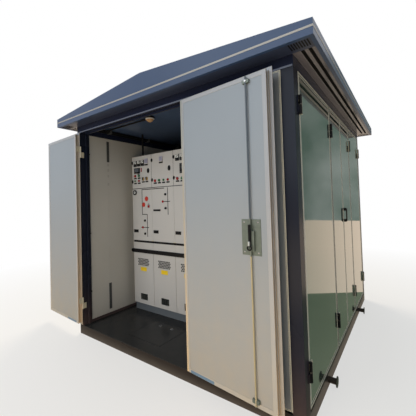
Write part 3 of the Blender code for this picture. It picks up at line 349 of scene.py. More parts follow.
# %% Group: side mask
SAME_SIDE = 0.8
side_group, given, result = group_of(
    "side_mask", [("Direction", "Vector", (0.0, -1.0, 0.0))], [("Faces It", "Float")]
)
looks_to = side_group.nodes.new("ShaderNodeTexCoord").outputs["Normal"]
agreement = vector_step(side_group, "DOT_PRODUCT", looks_to, given["Direction"])
feed(side_group, result["Faces It"], calc(side_group, "GREATER_THAN", agreement, SAME_SIDE))
print("group", side_group.name, len(side_group.nodes), "nodes")

# %% [markdown]
# ## Materials
# Colours are chosen as they look in daylight, so a helper turns a screen colour into the linear
# value that the shader wants. Every finish is a Principled shader with groups in front of it.
# A number that is the same all over a surface is set on the shader's own socket.

# %% Material helpers
def colour(red, green, blue):
    """Linear colour from screen values of 0 to 255."""
    def linear(value):
        share = value / 255
        return share / 12.92 if share <= 0.04045 else ((share + 0.055) / 1.055) ** 2.4

    return (linear(red), linear(green), linear(blue), 1.0)


def blank(name, **values):
    """New material: it, its tree and its shader's sockets, with plain values set on them."""
    made = bpy.data.materials.new(name)
    made.use_nodes = True
    tree = made.node_tree
    shader = tree.nodes["Principled BSDF"].inputs
    feed_all(tree, shader, **values)
    return made, tree, shader


def place_group(tree, group, **values):
    """Puts a group into a material with its own values, and hands back its outputs."""
    node = tree.nodes.new("ShaderNodeGroup")
    node.node_tree = group
    feed_all(tree, node.inputs, **values)
    return node.outputs


def finish_normal(tree, shader, height, distance, radius, wear):
    """Rounds the edges, adds the surface's fine relief and hands back the edge mask."""
    edges = place_group(tree, edge_group, Radius=radius, Wear=wear)
    bump = tree.nodes.new("ShaderNodeBump")
    feed_all(tree, bump.inputs, Strength=0.6, Distance=distance, Height=height, Normal=edges["Normal"])
    feed(tree, shader["Normal"], bump.outputs["Normal"])
    return edges["Edge"]


def mix_value(tree, amount, first, second):
    """Number mix of two numbers by an amount."""
    node = tree.nodes.new("ShaderNodeMix")
    feed_all(tree, node.inputs, Factor=amount, A=first, B=second)
    return node.outputs["Result"]


print("colour helper gives white as", colour(255, 255, 255))

# %% [markdown]
# ### Three kinds of finish
# Nearly all of the kiosk is one of three things: painted sheet with dust low down, clean paint
# or moulded plastic, and drawn metal. One function makes each kind. A paint's edge colour shows
# along the folds, partly as wear and partly as a painted highlight. Its earth colour shows near
# the ground, and on a few paints that low colour is a painted warm light instead of earth.

# %% Finish makers
def coated(
    name, tint, roughness, edge_tint_wear_and_highlight, mottle=0.08, dust=0.3, height=0.35, wear=0.5, radius=0.0015,
    earth_and_light=EARTH, **values
):
    """Painted or powder-coated sheet with mottle, low dust and folds lightened by wear and painted highlight.
    Tints are screen values.
    """
    made, tree, shader = blank(name, **values)
    dust_and_light = {"Dust": dust, "Dust_Height": height, "Dust_Colour": earth_and_light}
    coat = place_group(tree, coat_group, Colour=colour(*tint), Mottle=mottle, Roughness=roughness, **dust_and_light)
    edge_wear_and_highlight = finish_normal(tree, shader, coat["Height"], 0.00015, radius, wear)
    # The folds blend to the edge tint: partly wear, partly painted highlight.
    shown = blend(tree, edge_wear_and_highlight, coat["Colour"], colour(*edge_tint_wear_and_highlight))
    feed_all(tree, shader, Base_Color=shown, Roughness=coat["Roughness"])
    return made


def enamel(name, tint, roughness, edge_tint_wear_and_highlight, mottle=0.08, wear=0.3, radius=0.0006, **values):
    """Clean paint or plastic, which gathers no dust."""
    return coated(name, tint, roughness, edge_tint_wear_and_highlight, mottle, 0.0, 0.5, wear, radius, **values)


def drawn(name, tint, roughness, stretch, depth=0.2, metallic=0.9, wear=0.3, radius=0.001):
    """Extruded or rolled metal with lines along its length, and a painted white highlight on its edges."""
    made, tree, shader = blank(name, Metallic=metallic)
    lines = {"Stretch": stretch, "Depth": depth}
    metal = place_group(tree, drawn_group, Colour=colour(*tint), Roughness=roughness, **lines)
    edge_wear_and_highlight = finish_normal(tree, shader, metal["Height"], 0.0001, radius, wear)
    # Painted highlight: the edges blend to white.
    shown = blend(tree, edge_wear_and_highlight, metal["Colour"], WHITE4)
    feed_all(tree, shader, Base_Color=shown, Roughness=metal["Roughness"])
    return made


print("finish makers ready")

# %% [markdown]
# ### Paints of the housing
# The frame is navy and the roof a lighter blue, both semi-gloss. They are one paint: the roof's
# blue is painted lighter as painted sky light, and the head rail darker as painted shade under
# the eaves. The frame's paint turns browner towards its foot. The base is almost black and has
# picked up dust from the yard. Inside, the ceiling sheet is dark blue and glossy.

# %% Housing paints
DULL = {"Specular_IOR_Level": 0.13}
frame_foot_brown = colour(104, 84, 76)
# The frame's paint turns browner towards its foot.
navy = coated("navy_frame", (32, 36, 50), 0.26, (66, 74, 98), 0.10, 0.85, 0.70, 0.4, earth_and_light=frame_foot_brown, **DULL)
# Painted shade: the head rail is a darker copy of the frame's navy.
head_rail_painted_shade = enamel("navy_head_rail_painted_shade", (34, 40, 62), 0.26, (74, 82, 110), 0.10, 0.4, 0.0015, **DULL)
SATIN = {"Specular_IOR_Level": 0.38}
# Painted sky light: the roof is a lighter copy of the same navy.
roof_sky_lit_blue = enamel("roof_sky_lit_blue", (58, 80, 116), 0.33, (108, 126, 156), 0.12, 0.4, 0.0015, **SATIN)
trim = drawn("eaves_trim", (172, 167, 160), 0.38, (3.0, 3.0, 300.0), 0.15, 0.15)
base_black = coated("base_black", (44, 36, 32), 0.28, (96, 80, 70), 0.25, 0.30, 0.10, 0.6, 0.003, **DULL)
floor_black = coated("floor_black", (38, 39, 40), 0.24, (72, 71, 70), 0.15, 0.08, 0.30, 0.3, **DULL)
ceiling_navy = enamel("ceiling_gloss", (80, 98, 130), 0.14, (100, 110, 128), 0.40, 0.5, 0.0015)
black = enamel("black_plastic", (22, 22, 24), 0.42, (60, 60, 62), 0.10, 0.4, 0.0008, **DULL)
print("housing paints", [made.name for made in (navy, head_rail_painted_shade, roof_sky_lit_blue, trim, base_black, black)])

# %% [markdown]
# The soffit sheets are grey, the front one bluer. The inside of their folds is painted dark as
# painted shade: a mask on the height paints it on everything above the sheet's underside.

# %% Soffit sheets
SOFFIT_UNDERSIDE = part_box("soffit_right")[0][2]


def soffit_sheet(name, tint, roughness, gloss):
    """Soffit paint with painted shade, dark and dull, above the underside of the sheet."""
    made, tree, shader = blank(name, Specular_IOR_Level=gloss)
    coat = place_group(tree, coat_group, Colour=tint, Mottle=0.14, Dust=0.0, Roughness=roughness)
    edge_wear_and_highlight = finish_normal(tree, shader, coat["Height"], 0.00015, 0.0015, 0.6)
    height = split_axes(tree, own_coordinates(tree))["Z"]
    # Painted shade up inside the folds.
    fold_painted_shade = calc(tree, "GREATER_THAN", height, SOFFIT_UNDERSIDE + 0.0004)
    # The folds blend to a light tint: partly wear, partly painted highlight.
    bright = blend(tree, edge_wear_and_highlight, coat["Colour"], colour(150, 140, 130))
    feed_all(
        tree,
        shader,
        Base_Color=blend(tree, fold_painted_shade, bright, colour(20, 18, 19)),
        Roughness=calc(tree, "MAXIMUM", coat["Roughness"], fold_painted_shade),
    )
    return made


soffit_grey = soffit_sheet("soffit_grey", colour(124, 117, 122), 0.16, 0.5)
soffit_navy = soffit_sheet("soffit_navy", colour(60, 68, 92), 0.30, 0.4)
print("soffit underside at", round(SOFFIT_UNDERSIDE, 4))

# %% [markdown]
# ### Panels
# The leaves are light grey sandwich panels in an aluminium frame. Their lower half is painted
# warmer, a painted bounce of the light that the sunny ground throws up. Hinge plates, screws and
# the lock plate are plated or bright steel.

# %% Leaf panels and plated metal
warm_bounce_paint = colour(198, 182, 158)
# Painted bounce light: a warm colour rising from the foot of the leaf.
leaf_grey = coated("leaf_panel_grey", (161, 169, 178), 0.40, (196, 197, 202), 0.04, 0.9, 1.9, earth_and_light=warm_bounce_paint)
zinc = drawn("zinc_plate", (112, 121, 112), 0.36, (60.0, 60.0, 50.0), 0.35, 0.3)
hinge_cream = coated("hinge_plated", (214, 204, 180), 0.32, (230, 224, 208), 0.2, 0.1, 0.5, 0.4, 0.0006)
steel = drawn("bright_steel", (176, 176, 176), 0.26, (300.0, 300.0, 8.0), 0.2, 0.8)
print("plated metals", zinc.name, hinge_cream.name, steel.name)

# %% [markdown]
# The fixed walls wear a green sheet outside that is polished like a mirror, so its roughness is
# very low and it is partly metallic. Inside they are light grey. The frames of the open leaves
# have two finishes as well: the flat flange, and the edge. Both carry painted warm sunlight low
# down, and their folds a cream painted highlight.

# %% Sheets with two sides
LIGHT_DUST = {"Dust": 0.2}
# Painted warm sunlight, fed through the dust inputs of the leaf frames.
EDGE_PAINTED_SUN = {"Dust": 1.0, "Dust_Height": 1.7, "Dust_Colour": colour(244, 204, 158)}
FLANGE_PAINTED_SUN = {"Dust": 0.9, "Dust_Height": 1.7, "Dust_Colour": colour(214, 198, 172)}
GREEN = colour(98, 122, 110)
WALL_GREY = colour(206, 203, 196)
EDGE_GREY = colour(182, 183, 188)
PALE = colour(200, 205, 205)
# Painted highlight along the folds of the leaf frames.
CREAM_PAINTED_HIGHLIGHT = colour(244, 228, 200)


def two_sided(
    name, direction, inside, outside, metal, edge_tint_wear_and_highlight, wear=0.3, radius=0.0012, dust_and_light=(LIGHT_DUST, LIGHT_DUST)
):
    """Sheet whose side mask picks between two finishes, each a colour and a roughness."""
    made, tree, shader = blank(name)
    mask = place_group(tree, side_group, Direction=direction)["Faces It"]
    one = place_group(tree, coat_group, Colour=inside[0], Mottle=0.06, Roughness=inside[1], **dust_and_light[0])
    two = place_group(tree, coat_group, Colour=outside[0], Mottle=0.10, Roughness=outside[1], **dust_and_light[1])
    edge_wear_and_highlight = finish_normal(tree, shader, one["Height"], 0.00008, radius, wear)
    picked = blend(tree, mask, one["Colour"], two["Colour"])
    # The folds blend to the edge tint: partly wear, partly painted highlight.
    feed_all(
        tree,
        shader,
        Base_Color=blend(tree, edge_wear_and_highlight, picked, edge_tint_wear_and_highlight),
        Roughness=mix_value(tree, mask, one["Roughness"], two["Roughness"]),
        Metallic=calc(tree, "MULTIPLY", mask, metal),
    )
    return made


wall_finish = {
    node: two_sided(f"{node}_sheet", outward, (WALL_GREY, 0.45), (GREEN, 0.06), 0.6, PALE)
    for node, outward in (("wall_left", (-1.0, 0.0, 0.0)), ("wall_rear", (0.0, 1.0, 0.0)))
}
for body, name, tint, wear, radius in (
    ("right_leaf", "leaf_edge_profile", colour(166, 152, 138), 0.8, 0.003),
    ("left_leaf", "left_edge_profile", colour(196, 182, 162), 0.5, 0.002),
):
    edge_way = tuple(LEAF_FRAMES[body].to_3x3() @ Vector((-1.0, 0.0, 0.0)))
    wall_finish[f"{body}_frame"] = two_sided(
        name, edge_way, (EDGE_GREY, 0.36), (tint, 0.30), 0.3, CREAM_PAINTED_HIGHLIGHT, wear, radius, (FLANGE_PAINTED_SUN, EDGE_PAINTED_SUN)
    )
print("two-sided sheets", list(wall_finish))

# %% [markdown]
# A door skin is one sheet with a narrow bright rim. The rim is measured from the solid's own
# box, so it stays right if the door grows. The box also holds the hinge knuckles, which is why
# each side of the door says how far in, or out, its rim starts.

# %% Rimmed skins
RIM_BRIGHT = colour(236, 228, 208)
FAR_OFF = 9.0


def rimmed(node, near, far, field, rough, metal, gloss, rim_width, waves):
    """Door skin with a bright, grooved rim. Near and far move its two upright sides."""
    low, high = (Vector(corner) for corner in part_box(node))
    across = 0 if high.x - low.x > high.y - low.y else 1
    low[across] += near
    high[across] -= far
    half = (high - low) / 2
    half[1 - across] = FAR_OFF
    made, tree, shader = blank(node + "_sheet")
    rim = place_group(tree, rim_group, Centre=(low + high) / 2, Half_Size=half, Rim=rim_width)
    sheet = place_group(tree, coat_group, Colour=field, Mottle=0.12, Dust=0.2, Roughness=rough)
    bright = place_group(tree, drawn_group, Colour=RIM_BRIGHT, Depth=0.2, Roughness=0.30)
    lined = blend(tree, rim["Groove"], bright["Colour"], colour(58, 66, 58))
    swell = noise(tree, own_coordinates(tree), 2.3, 1.0)
    edge_wear_and_highlight = finish_normal(tree, shader, swell, waves, 0.0012, 0.4)
    picked = blend(tree, rim["Rim"], sheet["Colour"], lined)
    bare = calc(tree, "SUBTRACT", 1.0, rim["Rim"])
    # The edges blend to a pale colour: partly wear, partly painted highlight.
    feed_all(
        tree,
        shader,
        Base_Color=blend(tree, edge_wear_and_highlight, picked, colour(220, 216, 208)),
        Roughness=mix_value(tree, rim["Rim"], sheet["Roughness"], bright["Roughness"]),
        Metallic=calc(tree, "MULTIPLY", bare, metal),
        Coat_Weight=calc(tree, "MULTIPLY", bare, gloss),
    )
    return made


door_rims = {
    "side_door_a": (0.011, -0.007),
    "side_door_b": (0.004, -0.007),
    "side_door_c": (-0.007, 0.004),
    "side_door_d": (-0.007, 0.004),
}
door_finish = {
    node: rimmed(node, near, far, GREEN, 0.05, 0.6, 1.0, 0.024, 0.003)
    for node, (near, far) in door_rims.items()
}
door_finish["front_fixed_panel"] = rimmed(
    "front_fixed_panel", 0.0, 0.0, colour(146, 149, 152), 0.35, 0.0, 0.0, 0.010, 0.0002
)
print("rimmed skins", len(door_finish))

# %% [markdown]
# ### Switchgear
# The gear is powder-coated in a warm white with a fine texture, on a blue-grey plinth. Most of
# its fittings are small and clean, so they use the enamel maker. The ceiling lamp's globe lets
# some light through: a little transmission over a mottled amber is enough at this size.

# %% Switchgear finishes
gear_white = coated("gear_white", (206, 202, 198), 0.42, (235, 232, 228), 0.05, 0.15, 0.5, 0.6)
plinth_blue = coated("plinth_blue", (88, 98, 107), 0.42, (160, 170, 184), 0.06, 0.3, 0.3)
crimson = enamel("lens_red", (164, 16, 30), 0.20, (220, 90, 90))
red = enamel("signal_red", (208, 58, 44), 0.30, (230, 120, 110))
green = enamel("signal_green", (14, 104, 60), 0.30, (90, 180, 140))
yellow = coated("label_yellow", (250, 212, 18), 0.45, (240, 220, 120), 0.10, 0.1, 0.5, 0.3, 0.0004)
brass = drawn("key_brass", (168, 140, 88), 0.30, (200.0, 200.0, 60.0), 0.3, 0.9)
dial_white = enamel("dial_white", (226, 226, 222), 0.35, (240, 240, 240), 0.04, 0.2, 0.0004)
dark_glass = enamel("dark_glass", (26, 30, 34), 0.10, (80, 86, 92), 0.06, 0.4)
line_grey = enamel("mimic_line", (70, 72, 74), 0.45, (110, 112, 114), 0.08, 0.2, 0.0004)
amber, tree, shader = blank("amber_globe", Transmission_Weight=0.35, IOR=1.45)
coat = place_group(tree, coat_group, Colour=colour(240, 192, 140), Mottle=0.35, Dust=0.0, Roughness=0.12)
feed_all(tree, shader, Base_Color=coat["Colour"], Roughness=coat["Roughness"])
print("materials so far", len(bpy.data.materials))

# %% [markdown]
# ### Give each solid its finish
# A table from the start of a solid's name to its material keeps this readable, and a solid
# that is missing from it would stop the script.

# %% Assign finishes to the solids
finish_of = {**wall_finish, **door_finish, "eaves_trim": trim, "ceiling": ceiling_navy, "lamp_globe": amber}
finish_of.update({node: head_rail_painted_shade for node in solids if node.endswith("_lintel")})
families = {
    "base_": base_black,
    "floor_": floor_black,
    "post_": navy,
    "middle_post": navy,
    "side_mullion": navy,
    "eaves_band": roof_sky_lit_blue,
    "roof_cover": roof_sky_lit_blue,
    "soffit_front": soffit_navy,
    "soffit_": soffit_grey,
    "lamp_base": black,
    "conduit": black,
    "lock_lever": black,
    "side_door_pull": black,
    "lock_gear": zinc,
    "left_leaf_panel": leaf_grey,
    "right_leaf_panel": leaf_grey,
    "switchgear_body": gear_white,
    "switchgear_plinth": plinth_blue,
    "cable_cover": gear_white,
    "lv_door": gear_white,
}
for node, solid in solids.items():
    chosen = finish_of.get(node) or next(made for start, made in families.items() if node.startswith(start))
    solid.data.materials.clear()
    solid.data.materials.append(chosen)
print("finished solids", len(solids))

# %% [markdown]
# ## Making small fittings
# Fittings are built from a few kinds of mesh: a box, a turned piece, and a tube along points.
# Turned pieces and tubes are both rows of rings with a skin over them, so they share two
# helpers. Boxes from corner to corner are the quickest way to write down a measured strip.

# %% Mesh helpers
TO_FRONT = (0, -1, 0)
TO_REAR = (0, 1, 0)
TO_RIGHT = (1, 0, 0)
UPWARD = (0, 0, 1)


def box_mesh(low, high):
    """Box between two corners."""
    bm = bmesh.new()
    made = bmesh.ops.create_cube(bm, size=1.0)
    bmesh.ops.scale(bm, vec=Vector(high) - Vector(low), verts=made["verts"])
    bmesh.ops.translate(bm, vec=(Vector(high) + Vector(low)) / 2, verts=made["verts"])
    return bm


def ring_at(bm, middle, spin, radius, distance, sides):
    """Ring of corners about a middle, turned by spin and moved along its axis."""
    ring = []
    for i in range(sides):
        angle = 2 * math.pi * i / sides
        local = Vector((radius * math.cos(angle), radius * math.sin(angle), distance))
        ring.append(bm.verts.new(middle + spin @ local))
    return ring


def skinned(bm, rings):
    """Closes a row of rings: a cap at each end, and faces between neighbours."""
    bm.faces.new(rings[0])
    bm.faces.new(rings[-1])
    for near, far in zip(rings, rings[1:]):
        for i in range(len(near)):
            j = (i + 1) % len(near)
            bm.faces.new((near[i], near[j], far[j], far[i]))
    bmesh.ops.recalc_face_normals(bm, faces=bm.faces)
    return bm


def turned_mesh(profile, middle, axis, sides=20):
    """Turned piece from (radius, distance) pairs along an axis from its middle."""
    bm = bmesh.new()
    spin = Vector(axis).normalized().to_track_quat("Z", "Y").to_matrix()
    return skinned(bm, [ring_at(bm, Vector(middle), spin, radius, along, sides) for radius, along in profile])


def upright_bar(radius, low, high, spot, sides=16):
    """Round bar that stands at a spot, from one height to another."""
    return turned_mesh([(radius, low), (radius, high)], spot, UPWARD, sides)


def tube_mesh(points, radius, sides=10):
    """Tube of one radius along points, with flat ends."""
    bm = bmesh.new()
    spots = [Vector(point) for point in points]
    rings = []
    for i, spot in enumerate(spots):
        run = spots[min(i + 1, len(spots) - 1)] - spots[max(i - 1, 0)]
        spin = run.normalized().to_track_quat("Z", "Y").to_matrix()
        rings.append(ring_at(bm, spot, spin, radius, 0, sides))
    return skinned(bm, rings)


def arc(middle, side, rise, stop, step):
    """Points of an arc about a middle, from its side vector round towards its rise vector."""
    turns = [math.radians(a) for a in range(0, stop + 1, step)]
    return [[m + s * math.cos(t) + r * math.sin(t) for m, s, r in zip(middle, side, rise)] for t in turns]


print("mesh helpers ready")

# %% [markdown]
# Several meshes that share a finish and a body are gathered into one piece, which keeps the
# list of pieces short. A bevel modifier softens the edges of the piece without touching the
# mesh. Most fittings are on the housing, and those of a front leaf are turned with it.


def piece(name, meshes, finish, soften=0.0, body="housing"):
    """Joins meshes into one named piece, softens its edges, and lets it ride on a body."""
    whole = bpy.data.meshes.new(name)
    gathered = bmesh.new()
    for bm in meshes:
        part = bpy.data.meshes.new("part")
        bm.to_mesh(part)
        bm.free()
        gathered.from_mesh(part)
        bpy.data.meshes.remove(part)
    if body in LEAF_FRAMES:
        gathered.transform(LEAF_FRAMES[body])
    gathered.to_mesh(whole)
    gathered.free()
    whole.materials.append(finish)
    whole.shade_smooth()
    whole.set_sharp_from_angle(angle=math.radians(35))
    obj = stand(name, whole)
    if soften:
        bevel = obj.modifiers.new("softened", "BEVEL")
        bevel.width = soften
        bevel.segments = 2
        bevel.limit_method = "ANGLE"
    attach(obj, body)


print("piece maker ready")

# %% [markdown]
# ## Switchgear fittings
# The gear is four equal panels side by side. Everything on it is a flat fitting on one front,
# so two helpers take the place across and up, and how far it stands out of that front.

# %% The gear's front
GEAR_LEFT = 0.129
GEAR_PITCH = 0.326
GEAR_FRONT = 0.587
GEAR_TOP = 1.832
PANELS = 4


def gear_x(panel, across=0.0):
    """Distance from the left wall to a point on the gear, given from a panel's left edge."""
    return GEAR_LEFT + GEAR_PITCH * panel + across


def plate_mesh(x, z, width, height, proud, lift=0.0):
    """Flat fitting: its middle, its size, its thickness, and how far its back is lifted off."""
    front = GEAR_FRONT - lift
    low = place(x - width / 2, front - proud, z - height / 2)
    return box_mesh(low, place(x + width / 2, front, z + height / 2))


def strip_mesh(x0, x1, z0, z1, proud, sunk):
    """Strip between two sides and two heights, standing proud of the front and sunk into it."""
    return box_mesh(place(x0, GEAR_FRONT - proud, z0), place(x1, GEAR_FRONT + sunk, z1))


GEAR_RIGHT = gear_x(PANELS)
print("gear from", GEAR_LEFT, "to", GEAR_RIGHT)

# %% [markdown]
# Working up each panel, the cable cover comes first. It has a dark viewing window with three
# panes, a bare yellow label, and punched vents. The vents are real holes in the solid. From
# the camera such small holes would hardly show, so a thin dark plate over each one draws it
# about a third larger, as painted shade of the dark inside.

# %% Cable covers
WINDOW_Z = 0.240
PANE_PITCH = 0.034
COVER_TOP = 0.738
VENTS_BELOW_TOP = 0.071
VENT_HALF = 0.00475
VENT_TOP = COVER_TOP - VENTS_BELOW_TOP - VENT_HALF
VENT_PITCH = 0.022
VENT_ROWS = 5
ROW_PITCH = 0.0165
ROW_STAGGER = 0.0055
FIRST_VENT = 0.077
pane_grey = enamel("pane_grey", (48, 50, 48), 0.20, (90, 92, 90), 0.2)
windows, panes, labels, vent_shade_plates = [], [], [], []
for i in range(PANELS):
    x = gear_x(i + 0.5)
    windows.append(plate_mesh(x, WINDOW_Z, 0.112, 0.068, 0.0030, -0.0058))
    for k in range(3):
        panes.append(plate_mesh(x - PANE_PITCH + PANE_PITCH * k, WINDOW_Z, 0.028, 0.056, 0.0006, -0.0030))
    labels.append(plate_mesh(x, 0.5570, 0.100, 0.058, 0.0010, -0.0013))
    for row in range(VENT_ROWS):
        start = x + (ROW_STAGGER if row % 2 else -ROW_STAGGER) - FIRST_VENT
        z = VENT_TOP - row * ROW_PITCH
        # Painted shade: a dark plate over each vent hole.
        vent_shade_plates += [plate_mesh(start + VENT_PITCH * k, z, 0.0150, 0.0126, 0.0012) for k in range(8)]
piece("window_panes", windows, dark_glass, 0.0008)
piece("window_bars", panes, pane_grey)
piece("cover_labels", labels, yellow, 0.0003)
piece("vent_painted_shade", vent_shade_plates, black)
print("windows", len(windows), "vents", len(vent_shade_plates))

# %% [markdown]
# Between the sections runs a black rail with a rounded end, and above it a long slot, whose
# inside is a black strip of painted shade, with a small pale tab at each joint. The doors of the
# upper boxes have dark seams between them.

# %% Rail, slot and seams
RAIL_LEFT = GEAR_LEFT - 0.010
rail = [
    strip_mesh(RAIL_LEFT, GEAR_RIGHT, 0.7320, 0.7745, 0.008, -0.0006),
    turned_mesh([(0.0212, -0.008), (0.0212, -0.0006)], place(RAIL_LEFT, GEAR_FRONT, 0.7533), TO_REAR),
]
piece("rail", rail, black, 0.0015)
# Painted shade: a black strip inside the slot.
slot_painted_shade = strip_mesh(GEAR_LEFT + 0.010, GEAR_RIGHT, 0.8500, 0.8720, 0.0020, 0.003)
piece("drawn_slots", [slot_painted_shade], black, 0.0006)
joints = [gear_x(i) for i in range(1, PANELS)]
tabs = [plate_mesh(x, 0.877, 0.026, 0.008, 0.003) for x in joints]
piece("slot_tabs", tabs, hinge_cream, 0.001)
piece("section_joint", [strip_mesh(GEAR_LEFT, GEAR_RIGHT, 1.459, 1.466, 0.0012, 0.002)], line_grey, 0.0005)
seams = [strip_mesh(x - 0.0019, x + 0.0019, 1.468, GEAR_TOP, -0.0008, 0.004) for x in joints]
piece("door_seams", seams, black)
print("joints between panels", len(joints))

# %% [markdown]
# The operating panel shows the circuit as a line with switches on it, called a mimic diagram.
# The lines are thin raised strips. The first panel's line steps across to a lower switch, and
# the second panel's line runs straight down. Round heads mark the switches.

# %% Mimic diagram
LINE = 0.0074
MIMIC_TOP = 1.447
MIMIC_FOOT = 1.168


def mimic(points):
    """Thin strips along upright and level runs between points on the gear's front."""
    strips = []
    for (x0, z0), (x1, z1) in zip(points, points[1:]):
        (left, right_end), (low, high) = sorted((x0, x1)), sorted((z0, z1))
        half = LINE / 2
        strips.append(strip_mesh(left - half, right_end + half, low - half, high + half, 0.0010, 0.0003))
    return strips


runs = mimic([(0.640, MIMIC_TOP), (0.293, MIMIC_TOP), (0.293, 1.167), (0.372, 1.167), (0.372, 0.920)])
runs += mimic([(0.694, MIMIC_TOP), (0.694, MIMIC_FOOT)]) + mimic([(0.268, 1.021), (0.392, 1.021)])
runs += mimic([(0.615, 1.304), (0.722, 1.304)]) + mimic([(1.020, MIMIC_TOP), (1.020, MIMIC_FOOT)])
runs += mimic([(1.346, MIMIC_TOP), (1.346, MIMIC_FOOT)])
piece("mimic_lines", runs, black)
print("mimic strips", len(runs))

# %% [markdown]
# The heads are short turned discs with a chamfered rim. The black ones are knobs, and each of
# the two red ones marks a switch on the diagram.

# %% Switch heads
def heads(points, radius, proud, sides=18):
    """Round heads with a chamfered rim on the gear's front."""
    profile = [(radius, 0.0), (radius, proud - radius * 0.2), (radius * 0.8, proud)]
    return [turned_mesh(profile, place(x, GEAR_FRONT, z), TO_FRONT, sides) for x, z in points]


knob_spots = [(0.336, 0.951), (0.336, 1.098)]
knob_spots += [(gear_x(i, 0.207), z) for i in range(1, PANELS) for z in (1.233, 1.380)]
piece("switch_knobs", heads(knob_spots, 0.0125, 0.0125), black)
piece("switch_marks", heads([(0.297, 1.021), (0.620, 1.304)], 0.0135, 0.006), crimson)
print("knobs", len(knob_spots))

# %% [markdown]
# Two round red tags hang by the first panel's switches, with a small padlock beside them. Its
# shackle is a tube along half a ring. Black plates fill the places of nameplates, left bare.

# %% Tags, padlock and plates
LOCK_X = 0.402
tags = heads([(0.365, 1.341)], 0.029, 0.004, 24) + heads([(0.316, 1.276)], 0.027, 0.004, 24)
piece("red_tags", tags, red, 0.0005)
piece("padlock_body", [plate_mesh(LOCK_X, 1.256, 0.024, 0.028, 0.012)], crimson, 0.003)
shackle = arc(place(LOCK_X, GEAR_FRONT - 0.006, 1.272), (0.009, 0, 0), (0, 0, 0.014), 180, 15)
piece("padlock_shackle", [tube_mesh(shackle, 0.0022)], steel)
bars = [plate_mesh(0.528, 1.212, 0.108, 0.019, 0.004)]
bars += [plate_mesh(x, 0.977, 0.076, 0.034, 0.003) for x in (0.182, 0.507, 0.830, 1.156)]
piece("black_plates", bars, black, 0.001)
print("tags", len(tags), "plates", len(bars))

# %% [markdown]
# A round gas-pressure dial sits at the top left of the operating panel. Its bezel is a turned
# ring, its face a thin turned disc, and its hand a bar that is turned about the dial's axis.

# %% Pressure dial
def pointer(spot, low, high, degrees):
    """Bar between two corners, turned about a dial's axis and set down at a spot."""
    bar = box_mesh(low, high)
    bar.transform(Matrix.Translation(Vector(spot)) @ Matrix.Rotation(math.radians(degrees), 4, "Y"))
    return bar


dial_at = place(0.177, GEAR_FRONT - 0.0100, 1.419)
bezel = [(0.0285, -0.0060), (0.0290, 0.0016), (0.0280, 0.0026), (0.0185, 0.0026), (0.0172, 0.0008)]
piece("pressure_dial", [turned_mesh(bezel, dial_at, TO_FRONT, 32)], black)
face_at = Vector(dial_at) + Vector((0.0030, 0, 0))
face = turned_mesh([(0.0150, 0.0006), (0.0150, 0.0018)], face_at, TO_FRONT, 28)
piece("pressure_dial_face", [face], dial_white)
hand = pointer(dial_at, (-0.0016, -0.0030, -0.004), (0.0016, -0.0019, 0.014), 40)
piece("pressure_dial_hand", [hand], black)
print("dial at", dial_at)

# %% [markdown]
# ## Low-voltage doors
# Meters and counters sit in a row at the top of the upper doors. Each meter is a black case
# with a pale scale, ticks and a hand across it. A counter is a pale case with dark rows.

# %% Meters and counters
METER_Z = 1.758
METER_PITCH = 0.0615
FROM_EDGE = 0.062
COUNTER_FROM_EDGE = 0.152
METERS_ON_PANEL = {0: 3, 2: 2}
meter_x = []
for i, count in METERS_ON_PANEL.items():
    meter_x += [gear_x(i, FROM_EDGE) + METER_PITCH * k for k in range(count)]
counter_x = [gear_x(0, FROM_EDGE) + METER_PITCH * 3] + [gear_x(i, COUNTER_FROM_EDGE) for i in (1, 3)]
cases, scales, hands, counters, rows = [], [], [], [], []
for x in meter_x:
    cases.append(plate_mesh(x, METER_Z, 0.0500, 0.0510, 0.0086))
    scales.append(plate_mesh(x - 0.001, METER_Z + 0.006, 0.0420, 0.0330, 0.0010, 0.0084))
    hand_at = place(x + 0.002, GEAR_FRONT - 0.0096, METER_Z + 0.004)
    hands.append(pointer(hand_at, (-0.0024, -0.0008, -0.020), (0.0024, 0.0, 0.017), 44))
    scale_at = place(x - 0.001, GEAR_FRONT - 0.0095, METER_Z - 0.001)
    for turn in range(50, -51, -25):
        hands.append(pointer(scale_at, (-0.0010, -0.0006, 0.013), (0.0010, 0.0, 0.018), turn))
for x in counter_x:
    counters.append(plate_mesh(x, METER_Z + 0.008, 0.0490, 0.0500, 0.0090))
    for row in range(4):
        rows.append(plate_mesh(x, METER_Z + 0.022 - 0.0095 * row, 0.034, 0.0022, 0.0008, 0.0088))
cases += [plate_mesh(x, METER_Z - 0.0340, 0.0480, 0.0130, 0.0092) for x in meter_x + counter_x]
lilac = enamel("counter_case", (176, 174, 196), 0.35, (210, 208, 226), 0.06)
piece("meter_cases", cases, black, 0.0010)
piece("meter_scales", scales, dial_white, 0.0003)
piece("meter_hands", hands, black)
piece("counter_cases", counters, lilac, 0.0015)
piece("counter_rows", rows, line_grey)
print("meters", len(meter_x), "counters", len(counter_x))

# %% [markdown]
# A relay with a small grey screen sits on the first door and a taller one on the third. The
# screens and the buttons are thin plates on the cases, and a red strip stands beside the first.
# All are left without words.

